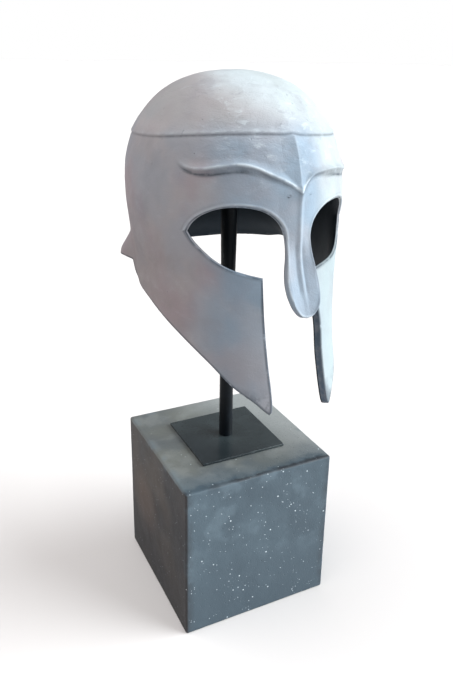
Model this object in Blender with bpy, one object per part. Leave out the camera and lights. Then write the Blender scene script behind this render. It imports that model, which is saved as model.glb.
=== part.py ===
"""Gladiator helmet on a display stand.

A closed-face helmet in one cast wall, with almond eye openings, a nasal, two long cheek pieces and a
flared neck guard. A round post holds it from under the crown, over a plate and a stone block.

Metres, +Z up. The origin is the centre of the block's underside, and the helmet faces -Y.
"""

import math

import bmesh
import bpy
import numpy as np
from mathutils import Vector
from mathutils.geometry import delaunay_2d_cdt

# ---------------------------------------------------------------- driving dimensions

GAP = 0.0003  # air kept between neighbouring pieces

BLOCK_SIDE = 0.182
BLOCK_HEIGHT = 0.186
BLOCK_ROUND = 0.004
PLATE_WIDTH = 0.1045
PLATE_DEPTH = 0.100
PLATE_THICKNESS = 0.003
PLATE_ROUND = 0.0006
POST_RADIUS = 0.008
POST_SIDES = 32
POST_TOP_ROUND = 0.005
POST_ROUND_STEPS = 4
POST_CLEARANCE = 0.0008  # below the curved underside of the crown

WALL = 0.008  # thickness of the cast helmet wall
EYE_WALL = 0.0035  # thickness at the rim of the eye openings
EYE_TAPER = 0.022  # the inside thins towards the rim over this distance
EYE_RIM_Z = 0.472  # the nasal thickens to the full wall below this height
NASAL_LIMIT = 0.024  # the nasal lies nearer the middle of the face than this, the cheeks farther
CROWN_Z = 0.611
BROAD_Z = 0.4983  # height of the helmet's greatest width, where the dome begins
BROAD_WIDTH = 0.1069  # half width there
BROAD_FRONT = 0.1411
BROAD_BACK = 0.1334
WIDTH_ROUNDNESS = 2.335  # powers of the dome's side, front and back profiles: 2 is an ellipse
FRONT_ROUNDNESS = 2.184
BACK_ROUNDNESS = 1.742
BROW_BLUNTNESS = 1.767  # powers of a level section: across the face, along it, and behind the ears
FACE_FULLNESS = 2.214
NAPE_FULLNESS = 2.113

SEAM_STEP = 0.0012  # how far the cap stands proud of the band below it
SEAM_DROP = 0.0010  # height of the step's small slope
SEAM_FADE = 0.015  # the step dies away into the dome over this height
KEEL_HEIGHT = 0.0018  # ridge down the middle of the face
KEEL_HALF = 0.006
LIP_HEIGHT = 0.0012  # raised band around the eye openings
LIP_WIDTH = 0.004
LIP_SLOPE = 0.001
BROW_HEIGHT = 0.0030  # arched ridge over each eye
BROW_ABOVE = 0.008
BROW_BELOW = 0.003
BROW_HOLLOW = 1.5  # power of the ridge's upper slope: above 1 it is hollow
BROW_TAIL = 3  # the ridge dies away over this many steps at its outer end
FLARE_TOP_Z = 0.442  # the neck guard turns out below this height
FLARE_SIDE = 0.0145  # reach of the turned-out rim beside the notch
FLARE_BACK = 0.0165  # and at the middle of the nape
FLARE_START = math.radians(101)
FLARE_FULL = math.radians(114)

CHART_RADIUS = 0.120  # the wall is laid out flat as turn * radius across and height up
FACET = 0.0098  # spacing of the wall's facets
EDGE_STEP = 0.0065  # spacing of the points along its edges and ridges
EDGE_CLEAR = 0.55  # facets keep this share of their spacing clear of edges and ridges
NUDGE = 1e-4  # small step that measures how the chart stretches
WELD = 5e-6  # points of neighbouring sheets closer than this are one
SHARP_ANGLE = math.radians(40)  # edges sharper than this are shaded as corners

# Columns: height, half width, reach of the face in front of the axis
SKIRT = (
    (0.280, 0.0945, 0.1780),
    (0.300, 0.0948, 0.1706),
    (0.320, 0.0952, 0.1640),
    (0.340, 0.0956, 0.1583),
    (0.360, 0.0962, 0.1535),
    (0.380, 0.0970, 0.1497),
    (0.400, 0.0982, 0.1467),
    (0.420, 0.0997, 0.1446),
    (0.450, 0.1030, 0.1427),
    (0.480, 0.1064, 0.1417),
    (BROAD_Z, BROAD_WIDTH, BROAD_FRONT),
)
# Columns: height, reach of the nasal in front of the axis
NASAL_REACH = (
    (0.390, 0.1680),
    (0.400, 0.1650),
    (0.414, 0.1598),
    (0.424, 0.1550),
    (0.436, 0.1500),
    (0.450, 0.1460),
    (0.467, 0.1430),
    (0.480, 0.1417),
)
# Columns: distance from the middle of the face, height
NASAL_EDGE = (
    (0.0000, 0.3990),
    (0.0066, 0.4008),
    (0.0115, 0.4065),
    (0.0148, 0.4160),
    (0.0159, 0.4270),
    (0.0148, 0.4400),
    (0.0131, 0.4520),
    (0.0133, 0.4640),
    (0.0148, 0.4730),
    (0.0182, 0.4812),
    (0.0240, 0.4880),
    (0.0320, 0.4932),
    (0.0420, 0.4960),
    (0.0540, 0.4965),
    (0.0650, 0.4945),
    (0.0740, 0.4898),
    (0.0805, 0.4835),
    (0.0843, 0.4765),
    (0.0862, 0.4697),
)
LOWER_EYE_EDGE = (
    (0.0862, 0.4697),
    (0.0828, 0.4620),
    (0.0770, 0.4540),
    (0.0690, 0.4455),
    (0.0590, 0.4390),
    (0.0470, 0.4350),
    (0.0318, 0.4315),
)
CHEEK_FRONT_EDGE = (
    (0.0318, 0.4315),
    (0.0306, 0.3800),
    (0.0296, 0.3400),
    (0.0292, 0.3200),
    (0.0297, 0.3100),
    (0.0308, 0.3045),
    (0.0328, 0.3022),
)
BROW_CREST = (
    (0.0000, 0.5112),
    (0.0060, 0.5162),
    (0.0150, 0.5215),
    (0.0250, 0.5262),
    (0.0350, 0.5310),
    (0.0420, 0.5332),
    (0.0480, 0.5340),
    (0.0550, 0.5335),
    (0.0650, 0.5314),
    (0.0730, 0.5291),
    (0.0800, 0.5284),
    (0.0850, 0.5298),
    (0.0885, 0.5330),
)
# Columns: distance behind the axis, height
CHEEK_LOWER_EDGE = (
    (-0.1576, 0.3022),
    (-0.1540, 0.3052),
    (-0.1485, 0.3102),
    (-0.1287, 0.3229),
    (-0.1047, 0.3407),
    (-0.0754, 0.3568),
    (-0.0399, 0.3710),
    (0.0000, 0.3825),
    (0.0250, 0.3885),
    (0.0330, 0.3960),
    (0.0370, 0.4120),
)
# Columns: turn from the front in degrees, height
NECK_RIM = (
    (110.0, 0.4120),
    (114.0, 0.4115),
    (120.0, 0.4085),
    (132.0, 0.4055),
    (148.0, 0.4020),
    (164.0, 0.3985),
    (180.0, 0.3970),
)
SEAM = (
    (0.0, 0.5612),
    (8.0, 0.5606),
    (20.0, 0.5609),
    (45.0, 0.5588),
    (60.0, 0.5562),
    (75.0, 0.5528),
    (90.0, 0.5502),
    (110.0, 0.5485),
    (180.0, 0.5485),
)


# ---------------------------------------------------------------- curves through a table


def smooth_at(rows, at):
    """Every later column of a table, read at one value of its first column, on a smooth curve."""
    table = np.array(rows)
    keys, values = table[:, 0], table[:, 1:]
    at = np.clip(at, keys[0], keys[-1])
    row = np.clip(np.searchsorted(keys, at, side="right") - 1, 0, len(keys) - 2)
    slopes = np.gradient(values, keys, axis=0)
    span = (keys[row + 1] - keys[row])[..., None]
    part = ((at - keys[row]))[..., None] / span
    start, end = values[row], values[row + 1]
    leave, arrive = slopes[row] * span, slopes[row + 1] * span
    rise = part * part * (3 - 2 * part)
    return (
        start + (end - start) * rise
        + leave * part * (1 - part) ** 2
        - arrive * part * part * (1 - part)
    )


def smooth_path(points, step):
    """Points at an even step along a smooth curve through the points given."""
    points = np.array(points, dtype=float)
    lengths = np.linalg.norm(np.diff(points, axis=0), axis=1)
    keys = np.concatenate([[0.0], np.cumsum(lengths)])
    count = max(2, round(keys[-1] / step) + 1)
    return smooth_at(np.column_stack([keys, points]), np.linspace(0.0, keys[-1], count))


# ---------------------------------------------------------------- outer form of the helmet


def reach(z):
    """Half width, front reach and back reach of the helmet's outer form at a height."""
    z = np.asarray(z, dtype=float)
    rise = np.clip((z - BROAD_Z) / (CROWN_Z - BROAD_Z), 0.0, 1.0)
    skirt = smooth_at(SKIRT, z)
    sizes = (BROAD_WIDTH, BROAD_FRONT, BROAD_BACK)
    powers = (WIDTH_ROUNDNESS, FRONT_ROUNDNESS, BACK_ROUNDNESS)
    width, front, back = (s * (1 - rise**p) ** (1 / p) for s, p in zip(sizes, powers))
    below = z < BROAD_Z
    return np.where(below, skirt[..., 0], width), np.where(below, skirt[..., 1], front), back


def turn_from_side(x, z):
    """Turn from the front of the point on the face that lies a distance from its middle."""
    width = reach(z)[0]
    return np.arcsin(np.clip(x / width, 0.0, 1.0) ** (BROW_BLUNTNESS / 2))


def turn_from_depth(y, z):
    """Turn from the front of the point on the side that lies a distance behind the axis."""
    _, front, back = reach(z)
    ahead = np.arccos(np.clip(-y / front, 0.0, 1.0) ** (FACE_FULLNESS / 2))
    behind = math.pi - np.arccos(np.clip(y / back, 0.0, 1.0) ** (NAPE_FULLNESS / 2))
    return np.where(y < 0, ahead, behind)


def flare(turn, z):
    """How far the neck guard stands outside the plain form."""
    start = np.clip((turn - FLARE_START) / (FLARE_FULL - FLARE_START), 0.0, 1.0)
    round_nape = np.clip((turn - FLARE_FULL) / (math.pi - FLARE_FULL), 0.0, 1.0)
    size = (FLARE_SIDE + (FLARE_BACK - FLARE_SIDE) * round_nape) * start * start * (3 - 2 * start)
    rim = smooth_at(NECK_RIM, np.degrees(turn))[..., 0]
    drop = np.clip((FLARE_TOP_Z - z) / (FLARE_TOP_Z - rim), 0.0, 1.0)
    return size * np.sin(drop * math.pi / 2) ** 2


def base_points(turn, z):
    """Points of the outer form before its ridges and lips are raised."""
    width, front, back = reach(z)
    side, along = np.abs(np.sin(turn)), np.abs(np.cos(turn))
    facing = turn < math.pi / 2
    x = width * side ** np.where(facing, 2 / BROW_BLUNTNESS, 2 / NAPE_FULLNESS)
    y = np.where(facing, -front * along ** (2 / FACE_FULLNESS), back * along ** (2 / NAPE_FULLNESS))
    on_nasal = facing & (x < NASAL_LIMIT) & (z < NASAL_REACH[-1][0])
    y = y - np.where(on_nasal, smooth_at(NASAL_REACH, z)[..., 0] - front, 0.0)
    out = flare(turn, z)
    return np.column_stack([x + out * side, y + out * np.where(facing, -along, along), z])


def seam_height(turn):
    return smooth_at(SEAM, np.degrees(turn))[..., 0]


# ---------------------------------------------------------------- the wall laid out flat


def face_line(rows):
    """Chart points of a table of distances from the middle of the face and heights."""
    x, z = np.array(rows).T
    return np.column_stack([turn_from_side(x, z) * CHART_RADIUS, z])


def side_line(rows):
    y, z = np.array(rows).T
    return np.column_stack([turn_from_depth(y, z) * CHART_RADIUS, z])


def turn_line(rows):
    turn, z = np.array(rows).T
    return np.column_stack([np.radians(turn) * CHART_RADIUS, z])


def band_edges():
    """The edges of half the wall below the seam, in order round it, as chart polylines."""
    middle_top = np.array([0.0, seam_height(0.0) - SEAM_DROP])
    nape_top = np.array([math.pi * CHART_RADIUS, seam_height(math.pi) - SEAM_DROP])
    seam_turn = seam_turns()
    eye = smooth_path(face_line(NASAL_EDGE), EDGE_STEP)
    lower_eye = smooth_path(face_line(LOWER_EYE_EDGE), EDGE_STEP)
    cheek_front = smooth_path(face_line(CHEEK_FRONT_EDGE), EDGE_STEP)
    cheek_lower = smooth_path(side_line(CHEEK_LOWER_EDGE), EDGE_STEP)
    rim = smooth_path(turn_line(NECK_RIM), EDGE_STEP)
    middle = smooth_path([middle_top, eye[0]], FACET)
    nape = smooth_path([rim[-1], nape_top], FACET)
    seam = np.column_stack([seam_turn * CHART_RADIUS, seam_height(seam_turn) - SEAM_DROP])
    return {
        "middle": middle,
        "eye": eye,
        "lower_eye": lower_eye,
        "cheek_front": cheek_front,
        "cheek_lower": cheek_lower,
        "rim": rim,
        "nape": nape,
        "seam": seam[::-1],
    }


def beside(line, distance):
    """A chart line moved over the surface, to the right of its direction when positive."""
    turn, z = line[:, 0] / CHART_RADIUS, line[:, 1]
    turn = np.maximum(turn, NUDGE)
    here = base_points(turn, z)
    across = base_points(turn + NUDGE, z) - here
    up = base_points(turn, z + NUDGE) - here
    across_length = np.linalg.norm(across, axis=1) / NUDGE
    up_length = np.linalg.norm(up, axis=1) / NUDGE
    run = np.gradient(line, axis=0)
    run = run * np.column_stack([across_length / CHART_RADIUS, up_length])
    run /= np.linalg.norm(run, axis=1)[:, None]
    right = np.column_stack([run[:, 1], -run[:, 0]])
    shift = right * distance / np.column_stack([across_length / CHART_RADIUS, up_length])
    return line + shift


def lattice(low, high, spacing):
    """Points of a triangular lattice that fills a box."""
    row_height = spacing * math.sqrt(3) / 2
    points = []
    rows = int((high[1] - low[1]) / row_height) + 1
    columns = int((high[0] - low[0]) / spacing) + 2
    for row in range(rows):
        start = low[0] - spacing / 2 * (row % 2)
        points += [(start + column * spacing, low[1] + row * row_height) for column in range(columns)]
    return np.array(points)


def distance_to_lines(points, lines):
    """Shortest distance from each point to any of several polylines."""
    best = np.full(len(points), np.inf)
    for line in lines:
        for start, end in zip(line[:-1], line[1:]):
            run = end - start
            length = max(run @ run, 1e-18)
            part = np.clip((points - start) @ run / length, 0.0, 1.0)
            gap = points - start - part[:, None] * run
            best = np.minimum(best, np.linalg.norm(gap, axis=1))
    return best


def fill_chart(outline, lines, spacing):
    """Triangles that fill a closed chart outline and follow the lines inside it."""
    points = [tuple(p) for p in outline]
    edges = [(i, (i + 1) % len(outline)) for i in range(len(outline))]
    for line in lines:
        first = len(points)
        points += [tuple(p) for p in line]
        edges += [(first + i, first + i + 1) for i in range(len(line) - 1)]
    inner = lattice(outline.min(axis=0), outline.max(axis=0), spacing)
    closed = np.vstack([outline, outline[:1]])
    clear = distance_to_lines(inner, [closed, *lines]) > EDGE_CLEAR * spacing
    points += [tuple(p) for p in inner[clear]]
    result = delaunay_2d_cdt([Vector(p) for p in points], edges, [], 1, 1e-7)
    return np.array([tuple(p) for p in result[0]]), result[2]


# ---------------------------------------------------------------- relief and thickness of the wall


def ramp(value, start, end):
    """0 at start and 1 at end, straight between them."""
    return np.clip((value - start) / (end - start), 0.0, 1.0)


def face_relief(places, edges, crest):
    """Height of the keel, the eye lips and the brow ridges at points of the wall."""
    on_face = places[:, 1] < 0
    keel = KEEL_HEIGHT * ramp(places[:, 0], KEEL_HALF, 0.0) * on_face
    lips = [chart_to_space(edges[name]) for name in ("eye", "lower_eye")]
    lip_distance = distance_to_lines(places, lips)
    lip = LIP_HEIGHT * ramp(lip_distance, LIP_WIDTH + LIP_SLOPE, LIP_WIDTH)
    crest_line = chart_to_space(crest)
    crest_distance = distance_to_lines(places, [crest_line])
    crest_z = np.interp(places[:, 0], crest_line[:, 0], crest_line[:, 2])
    above = places[:, 2] >= crest_z
    height = BROW_HEIGHT * np.where(
        above,
        ramp(crest_distance, BROW_ABOVE, 0.0) ** BROW_HOLLOW,
        ramp(crest_distance, BROW_BELOW, 0.0),
    )
    tail = ramp(places[:, 0], crest_line[-1, 0], crest_line[-1 - BROW_TAIL, 0])
    brow = np.where(crest_distance < BROW_ABOVE, height, 0.0) * tail * on_face
    return np.maximum(keel, brow) + lip


def wall_thickness(places, edges):
    """Thickness of the wall at its points: it thins towards the rim of the eye openings."""
    upper = chart_to_space(edges["eye"])
    rim = [upper[upper[:, 2] > EYE_RIM_Z], chart_to_space(edges["lower_eye"])]
    near = ramp(distance_to_lines(places, rim), EYE_TAPER, 0.0)
    return WALL - (WALL - EYE_WALL) * near * near


def chart_to_space(chart):
    return base_points(chart[:, 0] / CHART_RADIUS, chart[:, 1])


def clear_of_middle(line):
    """The stretch of a chart line that stays clear of the middle of the face."""
    return line[line[:, 0] > EDGE_STEP / 2]


def seam_turns():
    return np.linspace(0.0, math.pi, round(math.pi * CHART_RADIUS / FACET) + 1)


def band():
    """Half the wall below the seam: base points, relief, thickness and triangles."""
    edges = band_edges()
    outline = np.vstack([line[:-1] for line in edges.values()])
    crest = smooth_path(face_line(BROW_CREST), EDGE_STEP)
    lines = [crest, clear_of_middle(beside(crest[:-1], BROW_BELOW))]
    chart, faces = fill_chart(outline, lines, FACET)
    places = chart_to_space(chart)
    return places, face_relief(places, edges, crest), wall_thickness(places, edges), faces


def cap():
    """Half the dome above the seam, laid out round the crown."""
    turn = seam_turns()
    lean = np.arccos((seam_height(turn) - BROAD_Z) / (CROWN_Z - BROAD_Z))
    ring = np.column_stack([np.cos(turn), np.sin(turn)]) * (lean * CHART_RADIUS)[:, None]
    ring[-1, 1] = 0.0
    middle = smooth_path([ring[-1], (0.0, 0.0), ring[0]], FACET)
    outline = np.vstack([ring[:-1], middle[:-1]])
    chart, faces = fill_chart(outline, [], FACET)
    turn = np.arctan2(np.maximum(chart[:, 1], 0.0), chart[:, 0])
    lean = np.linalg.norm(chart, axis=1) / CHART_RADIUS
    z = BROAD_Z + (CROWN_Z - BROAD_Z) * np.cos(lean)
    relief = SEAM_STEP * np.exp(-(z - seam_height(turn)) / SEAM_FADE)
    return base_points(turn, z), relief, np.full(len(z), WALL), faces


def seam_strip():
    """The small slope between the band and the proud edge of the cap."""
    turn = seam_turns()
    upper, lower = (base_points(turn, seam_height(turn) - drop) for drop in (0.0, SEAM_DROP))
    count = len(turn)
    faces = [(i, i + 1, count + i + 1, count + i) for i in range(count - 1)]
    relief = np.repeat([SEAM_STEP, 0.0], count)
    return np.vstack([upper, lower]), relief, np.full(2 * count, WALL), faces


# ---------------------------------------------------------------- building meshes


def whole_sheet():
    """The outer form of the whole helmet as one open sheet, with its relief and thickness."""
    sheet = bmesh.new()
    sheet.verts.layers.float.new("relief")
    sheet.verts.layers.float.new("thickness")
    for places, relief, thickness, faces in (band(), seam_strip(), cap()):
        for hand in (1, -1):
            verts = []
            for place, height, depth in zip(places, relief, thickness):
                vert = sheet.verts.new((place[0] * hand, place[1], place[2]))
                vert[sheet.verts.layers.float["relief"]] = height
                vert[sheet.verts.layers.float["thickness"]] = depth
                verts.append(vert)
            for face in faces:
                sheet.faces.new([verts[i] for i in face])
    bmesh.ops.remove_doubles(sheet, verts=sheet.verts, dist=WELD)
    bmesh.ops.triangulate(sheet, faces=sheet.faces)
    bmesh.ops.recalc_face_normals(sheet, faces=sheet.faces)
    crown = max(sheet.verts, key=lambda vert: vert.co.z)
    if crown.normal.z < 0:
        bmesh.ops.reverse_faces(sheet, faces=sheet.faces)
    sheet.normal_update()
    return sheet


def helmet_mesh():
    """The cast wall: the outer sheet with its relief, an inner sheet and the edges between them."""
    sheet = whole_sheet()
    relief = sheet.verts.layers.float["relief"]
    thickness = sheet.verts.layers.float["thickness"]
    shell = bmesh.new()
    outer, inner = {}, {}
    for vert in sheet.verts:
        outer[vert] = shell.verts.new(vert.co + vert.normal * vert[relief])
        inner[vert] = shell.verts.new(vert.co - vert.normal * vert[thickness])
    for face in sheet.faces:
        shell.faces.new([outer[vert] for vert in face.verts])
        shell.faces.new([inner[vert] for vert in reversed(face.verts)])
    for edge in sheet.edges:
        if edge.is_boundary:
            loop = edge.link_loops[0]
            start, end = loop.vert, loop.link_loop_next.vert
            shell.faces.new([outer[end], outer[start], inner[start], inner[end]])
    sheet.free()
    return shell


def rounded_box(width, depth, low, high, radius, segments):
    """A box with rounded edges that stands centred over the origin."""
    box = bmesh.new()
    bmesh.ops.create_cube(box, size=1.0)
    for vert in box.verts:
        vert.co = Vector((vert.co.x * width, vert.co.y * depth, high if vert.co.z > 0 else low))
    bmesh.ops.bevel(
        box, geom=box.edges[:], offset=radius, segments=segments, profile=0.5, affect="EDGES"
    )
    return box


def turned_rod(radius, low, high, top_round, sides):
    """A round rod on the Z axis with a rounded upper end."""
    corner = [math.pi / 2 * i / POST_ROUND_STEPS for i in range(POST_ROUND_STEPS + 1)]
    profile = [(radius, low)] + [
        (radius - top_round * (1 - math.cos(a)), high - top_round * (1 - math.sin(a))) for a in corner
    ]
    rod = bmesh.new()
    rings = []
    for ring_radius, z in profile:
        angles = [2 * math.pi * i / sides for i in range(sides)]
        rings.append(
            [rod.verts.new((ring_radius * math.cos(a), ring_radius * math.sin(a), z)) for a in angles]
        )
    for below, above in zip(rings[:-1], rings[1:]):
        for i in range(sides):
            j = (i + 1) % sides
            rod.faces.new([below[i], below[j], above[j], above[i]])
    rod.faces.new(rings[0][::-1])
    rod.faces.new(rings[-1])
    return rod


def finish(name, colour, roughness, metallic):
    material = bpy.data.materials.new(name)
    material.use_nodes = True
    shader = material.node_tree.nodes["Principled BSDF"]
    shader.inputs["Base Color"].default_value = (*colour, 1.0)
    shader.inputs["Roughness"].default_value = roughness
    shader.inputs["Metallic"].default_value = metallic
    return material


def add_piece(name, shape, material):
    mesh = bpy.data.meshes.new(name)
    shape.to_mesh(mesh)
    shape.free()
    mesh.shade_smooth()
    mesh.set_sharp_from_angle(angle=SHARP_ANGLE)
    mesh.materials.append(material)
    piece = bpy.data.objects.new(name, mesh)
    bpy.context.scene.collection.objects.link(piece)
    return piece


# ---------------------------------------------------------------- the object


def build_block():
    shape = rounded_box(BLOCK_SIDE, BLOCK_SIDE, 0.0, BLOCK_HEIGHT, BLOCK_ROUND, 4)
    return add_piece("stone_block", shape, finish("speckled_stone", (0.11, 0.13, 0.15), 0.75, 0.0))


def build_plate():
    low = BLOCK_HEIGHT + GAP
    shape = rounded_box(PLATE_WIDTH, PLATE_DEPTH, low, low + PLATE_THICKNESS, PLATE_ROUND, 2)
    return add_piece("base_plate", shape, finish("black_steel", (0.03, 0.035, 0.04), 0.35, 0.6))


def build_post():
    low = BLOCK_HEIGHT + GAP + PLATE_THICKNESS + GAP
    high = CROWN_Z - WALL - POST_CLEARANCE
    shape = turned_rod(POST_RADIUS, low, high, POST_TOP_ROUND, POST_SIDES)
    return add_piece("post", shape, finish("black_paint", (0.01, 0.013, 0.016), 0.4, 0.0))


def build_helmet():
    whitewash = finish("whitewashed_cast", (0.50, 0.52, 0.55), 0.7, 0.0)
    return add_piece("helmet_shell", helmet_mesh(), whitewash)


def main():
    for old in list(bpy.data.objects):
        bpy.data.objects.remove(old)
    build_block()
    build_plate()
    build_post()
    build_helmet()


main()
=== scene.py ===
"""Looks of the gladiator helmet on its display stand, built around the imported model.

The helmet's cast wall is made again, finer than the model's: rounded rims, a bevel round the eyes, arched
brow ridges, a rib down the nose guard and the seam under the cap. The post, plate and stone block get soft
edges and their own finishes. Metres, +Z up, and the helmet faces -Y.
"""

import math

import bmesh
import bpy
import numpy as np
from mathutils import Matrix, Vector
from mathutils.geometry import delaunay_2d_cdt
from mathutils.kdtree import KDTree


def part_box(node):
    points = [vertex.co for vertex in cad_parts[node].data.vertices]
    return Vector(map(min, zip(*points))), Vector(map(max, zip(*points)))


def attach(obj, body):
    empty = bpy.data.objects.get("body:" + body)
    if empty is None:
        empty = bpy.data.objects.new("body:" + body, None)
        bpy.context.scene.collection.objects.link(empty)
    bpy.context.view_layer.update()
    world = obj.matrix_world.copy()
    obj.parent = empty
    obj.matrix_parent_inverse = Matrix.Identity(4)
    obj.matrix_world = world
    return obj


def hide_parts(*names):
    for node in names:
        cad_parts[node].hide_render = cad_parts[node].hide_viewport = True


bl_info = {
    "name": "Gladiator helmet",
    "version": (1, 0, 0),
    "blender": (4, 5, 0),
    "location": "3D View > Sidebar > Helmet",
    "description": "Builds a cast helmet with a nose guard, on a post, a plate and a stone block",
    "category": "Object",
}

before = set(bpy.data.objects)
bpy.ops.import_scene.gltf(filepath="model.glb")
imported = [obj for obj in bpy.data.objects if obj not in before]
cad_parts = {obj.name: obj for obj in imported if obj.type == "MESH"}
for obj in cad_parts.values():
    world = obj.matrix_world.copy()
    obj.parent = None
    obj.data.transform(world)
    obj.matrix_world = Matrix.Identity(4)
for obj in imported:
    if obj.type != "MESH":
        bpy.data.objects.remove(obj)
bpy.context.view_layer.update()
BODY = "root"
HELMET_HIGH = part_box("helmet_shell")[1]
POST_LOW, POST_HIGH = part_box("post")
PLATE_LOW, PLATE_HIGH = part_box("base_plate")
BLOCK_LOW, BLOCK_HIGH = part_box("stone_block")

# ---------------------------------------------------------------- form of the helmet

CROWN_Z = HELMET_HIGH.z
BROAD_Z = 0.4983  # height of the helmet's greatest width, where the dome begins
BROAD_WIDTH = HELMET_HIGH.x
BROAD_FRONT = 0.1411
BROAD_BACK = 0.1334
WIDTH_ROUNDNESS = 2.335  # powers of the dome's side, front and back profiles: 2 is an ellipse
FRONT_ROUNDNESS = 2.184
BACK_ROUNDNESS = 1.742
BROW_BLUNTNESS = 1.767  # powers of a level section: across the face, along it, and behind the ears
FACE_FULLNESS = 2.214
NAPE_FULLNESS = 2.113
NASAL_LIMIT = 0.024  # the nose guard lies nearer the middle than this, the cheeks farther
FLARE_TOP_Z = 0.442  # the neck guard turns out below this height
FLARE_SIDE = 0.0145
FLARE_BACK = 0.0165
FLARE_START = math.radians(101)
FLARE_FULL = math.radians(114)

# Columns: height, half width, reach of the face in front of the axis
SKIRT = (
    (0.28, 0.0945, 0.178), (0.3, 0.0948, 0.1706), (0.32, 0.0952, 0.164), (0.34, 0.0956, 0.1583),
    (0.36, 0.0962, 0.1535), (0.38, 0.097, 0.1497), (0.4, 0.0982, 0.1467), (0.42, 0.0997, 0.1446),
    (0.45, 0.103, 0.1427), (0.48, 0.1064, 0.1417), (BROAD_Z, BROAD_WIDTH, BROAD_FRONT),
)
# Columns: height, reach of the nose guard in front of the axis
NASAL_REACH = (
    (0.39, 0.168), (0.4, 0.165), (0.414, 0.1598), (0.424, 0.155), (0.436, 0.15), (0.45, 0.146),
    (0.467, 0.143), (0.48, 0.1417),
)
EYE_CORNER = (0.0862, 0.4697)  # distance from the middle of the face, height
# The next four tables: distance from the middle of the face, height
NASAL_EDGE = (
    (0.0, 0.399), (0.0066, 0.4008), (0.0115, 0.4065), (0.0148, 0.416), (0.0159, 0.427), (0.0148, 0.44),
    (0.0131, 0.452), (0.0133, 0.464), (0.0148, 0.473), (0.0182, 0.4812), (0.024, 0.488), (0.032, 0.4932),
    (0.042, 0.496), (0.054, 0.4965), (0.065, 0.4945), (0.074, 0.4898), (0.0805, 0.4835), (0.0843, 0.4765),
    EYE_CORNER,
)
LOWER_EYE_EDGE = (
    EYE_CORNER, (0.0828, 0.462), (0.077, 0.454), (0.069, 0.4455), (0.059, 0.439), (0.047, 0.435),
    (0.0318, 0.4315),
)
CHEEK_FRONT_EDGE = (
    (0.0318, 0.4315), (0.0306, 0.38), (0.0296, 0.34), (0.0292, 0.32), (0.0297, 0.31), (0.0308, 0.3045),
    (0.0328, 0.3022),
)
BROW_CREST = (
    (0.0, 0.5112), (0.006, 0.5162), (0.015, 0.5215), (0.025, 0.5262), (0.035, 0.531), (0.042, 0.5332),
    (0.048, 0.534), (0.055, 0.5335), (0.065, 0.5314), (0.073, 0.5291), (0.08, 0.5284), (0.085, 0.5298),
    (0.0885, 0.533),
)
# Columns: distance from the middle of the face, height of the brow ridge, reach of its underside
BROW_SHAPE = (
    (0.0, 0.0022, 0.003), (0.012, 0.0024, 0.0036), (0.03, 0.003, 0.0045), (0.045, 0.0036, 0.006),
    (0.06, 0.0038, 0.0068), (0.074, 0.0034, 0.006), (0.082, 0.0024, 0.0046), (0.0885, 0.0008, 0.0034),
    (0.092, 0.0, 0.0024),
)
# Columns: distance behind the axis, height
CHEEK_LOWER_EDGE = (
    (-0.1576, 0.3022), (-0.154, 0.3052), (-0.1485, 0.3102), (-0.1287, 0.3229), (-0.1047, 0.3407),
    (-0.0754, 0.3568), (-0.0399, 0.371), (0.0, 0.3825), (0.025, 0.3885), (0.033, 0.396), (0.037, 0.412),
)
# Columns: turn from the front in degrees, height
NECK_RIM = (
    (110.0, 0.412), (114.0, 0.4115), (120.0, 0.4085), (132.0, 0.4055), (148.0, 0.402), (164.0, 0.3985),
    (180.0, 0.397),
)
SEAM = (
    (0.0, 0.5612), (8.0, 0.5606), (20.0, 0.5609), (45.0, 0.5588), (60.0, 0.5562), (75.0, 0.5528),
    (90.0, 0.5502), (110.0, 0.5485), (180.0, 0.5485),
)
# Columns: height above the seam, height of the relief there, painted shade under the step, painted highlight
# on the cap's edge
SEAM_PROFILE = (
    (0.004, 0.00085, 0.0, 0.0), (0.0026, 0.00105, 0.0, 0.1), (0.0014, 0.0012, 0.0, 0.28),
    (0.0006, 0.00112, 0.0, 0.34), (0.0, 0.0008, 0.1, 0.2), (-0.0005, 0.0003, 0.45, 0.0),
    (-0.001, -0.0001, 0.7, 0.0), (-0.0016, -0.00025, 0.5, 0.0), (-0.0024, -0.0001, 0.18, 0.0),
    (-0.0034, 0.0, 0.0, 0.0),
)
SEAM_STEP = 0.0012  # the full height of that relief
SEAM_FADE = 0.015  # the step dies away into the dome over this height
# The casting is hand made, so its left side differs a little. Columns: distance from the middle, rise
LEFT_BROW = (
    (0.0, 0.0), (0.008, 0.003), (0.015, 0.004), (0.025, 0.0008), (0.035, -0.0042), (0.045, -0.0075),
    (0.055, -0.0084), (0.07, -0.008), (0.0885, -0.006), (0.107, -0.002),
)
LEFT_SEAM = (
    (0.0, 0.0), (0.02, -0.0022), (0.045, -0.004), (0.08, -0.0036), (0.107, 0.0),
)
LEFT_CORNER = (-0.0072, 0.003)  # how far the top corner of the left cheek piece stands inwards and up
LEFT_NOTCH = (0.006, 0.004)  # how far the notch behind the left cheek piece lies forwards and up
LEFT_TIP_ROUND = 0.0016  # how far both corners of the left cheek piece's tip are rounded up
LEFT_TIP_OUT = 0.0026  # how far that tip stands outwards
LEFT_TIP_DOWN = 0.0028  # how far that tip hangs lower
TIP_ACROSS = (0.89, -0.45)  # level direction across the tip of a cheek piece
TIP_MIDDLE, TIP_HALF = 0.096, 0.005  # where the tip's middle lies that way, and half its width

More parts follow.
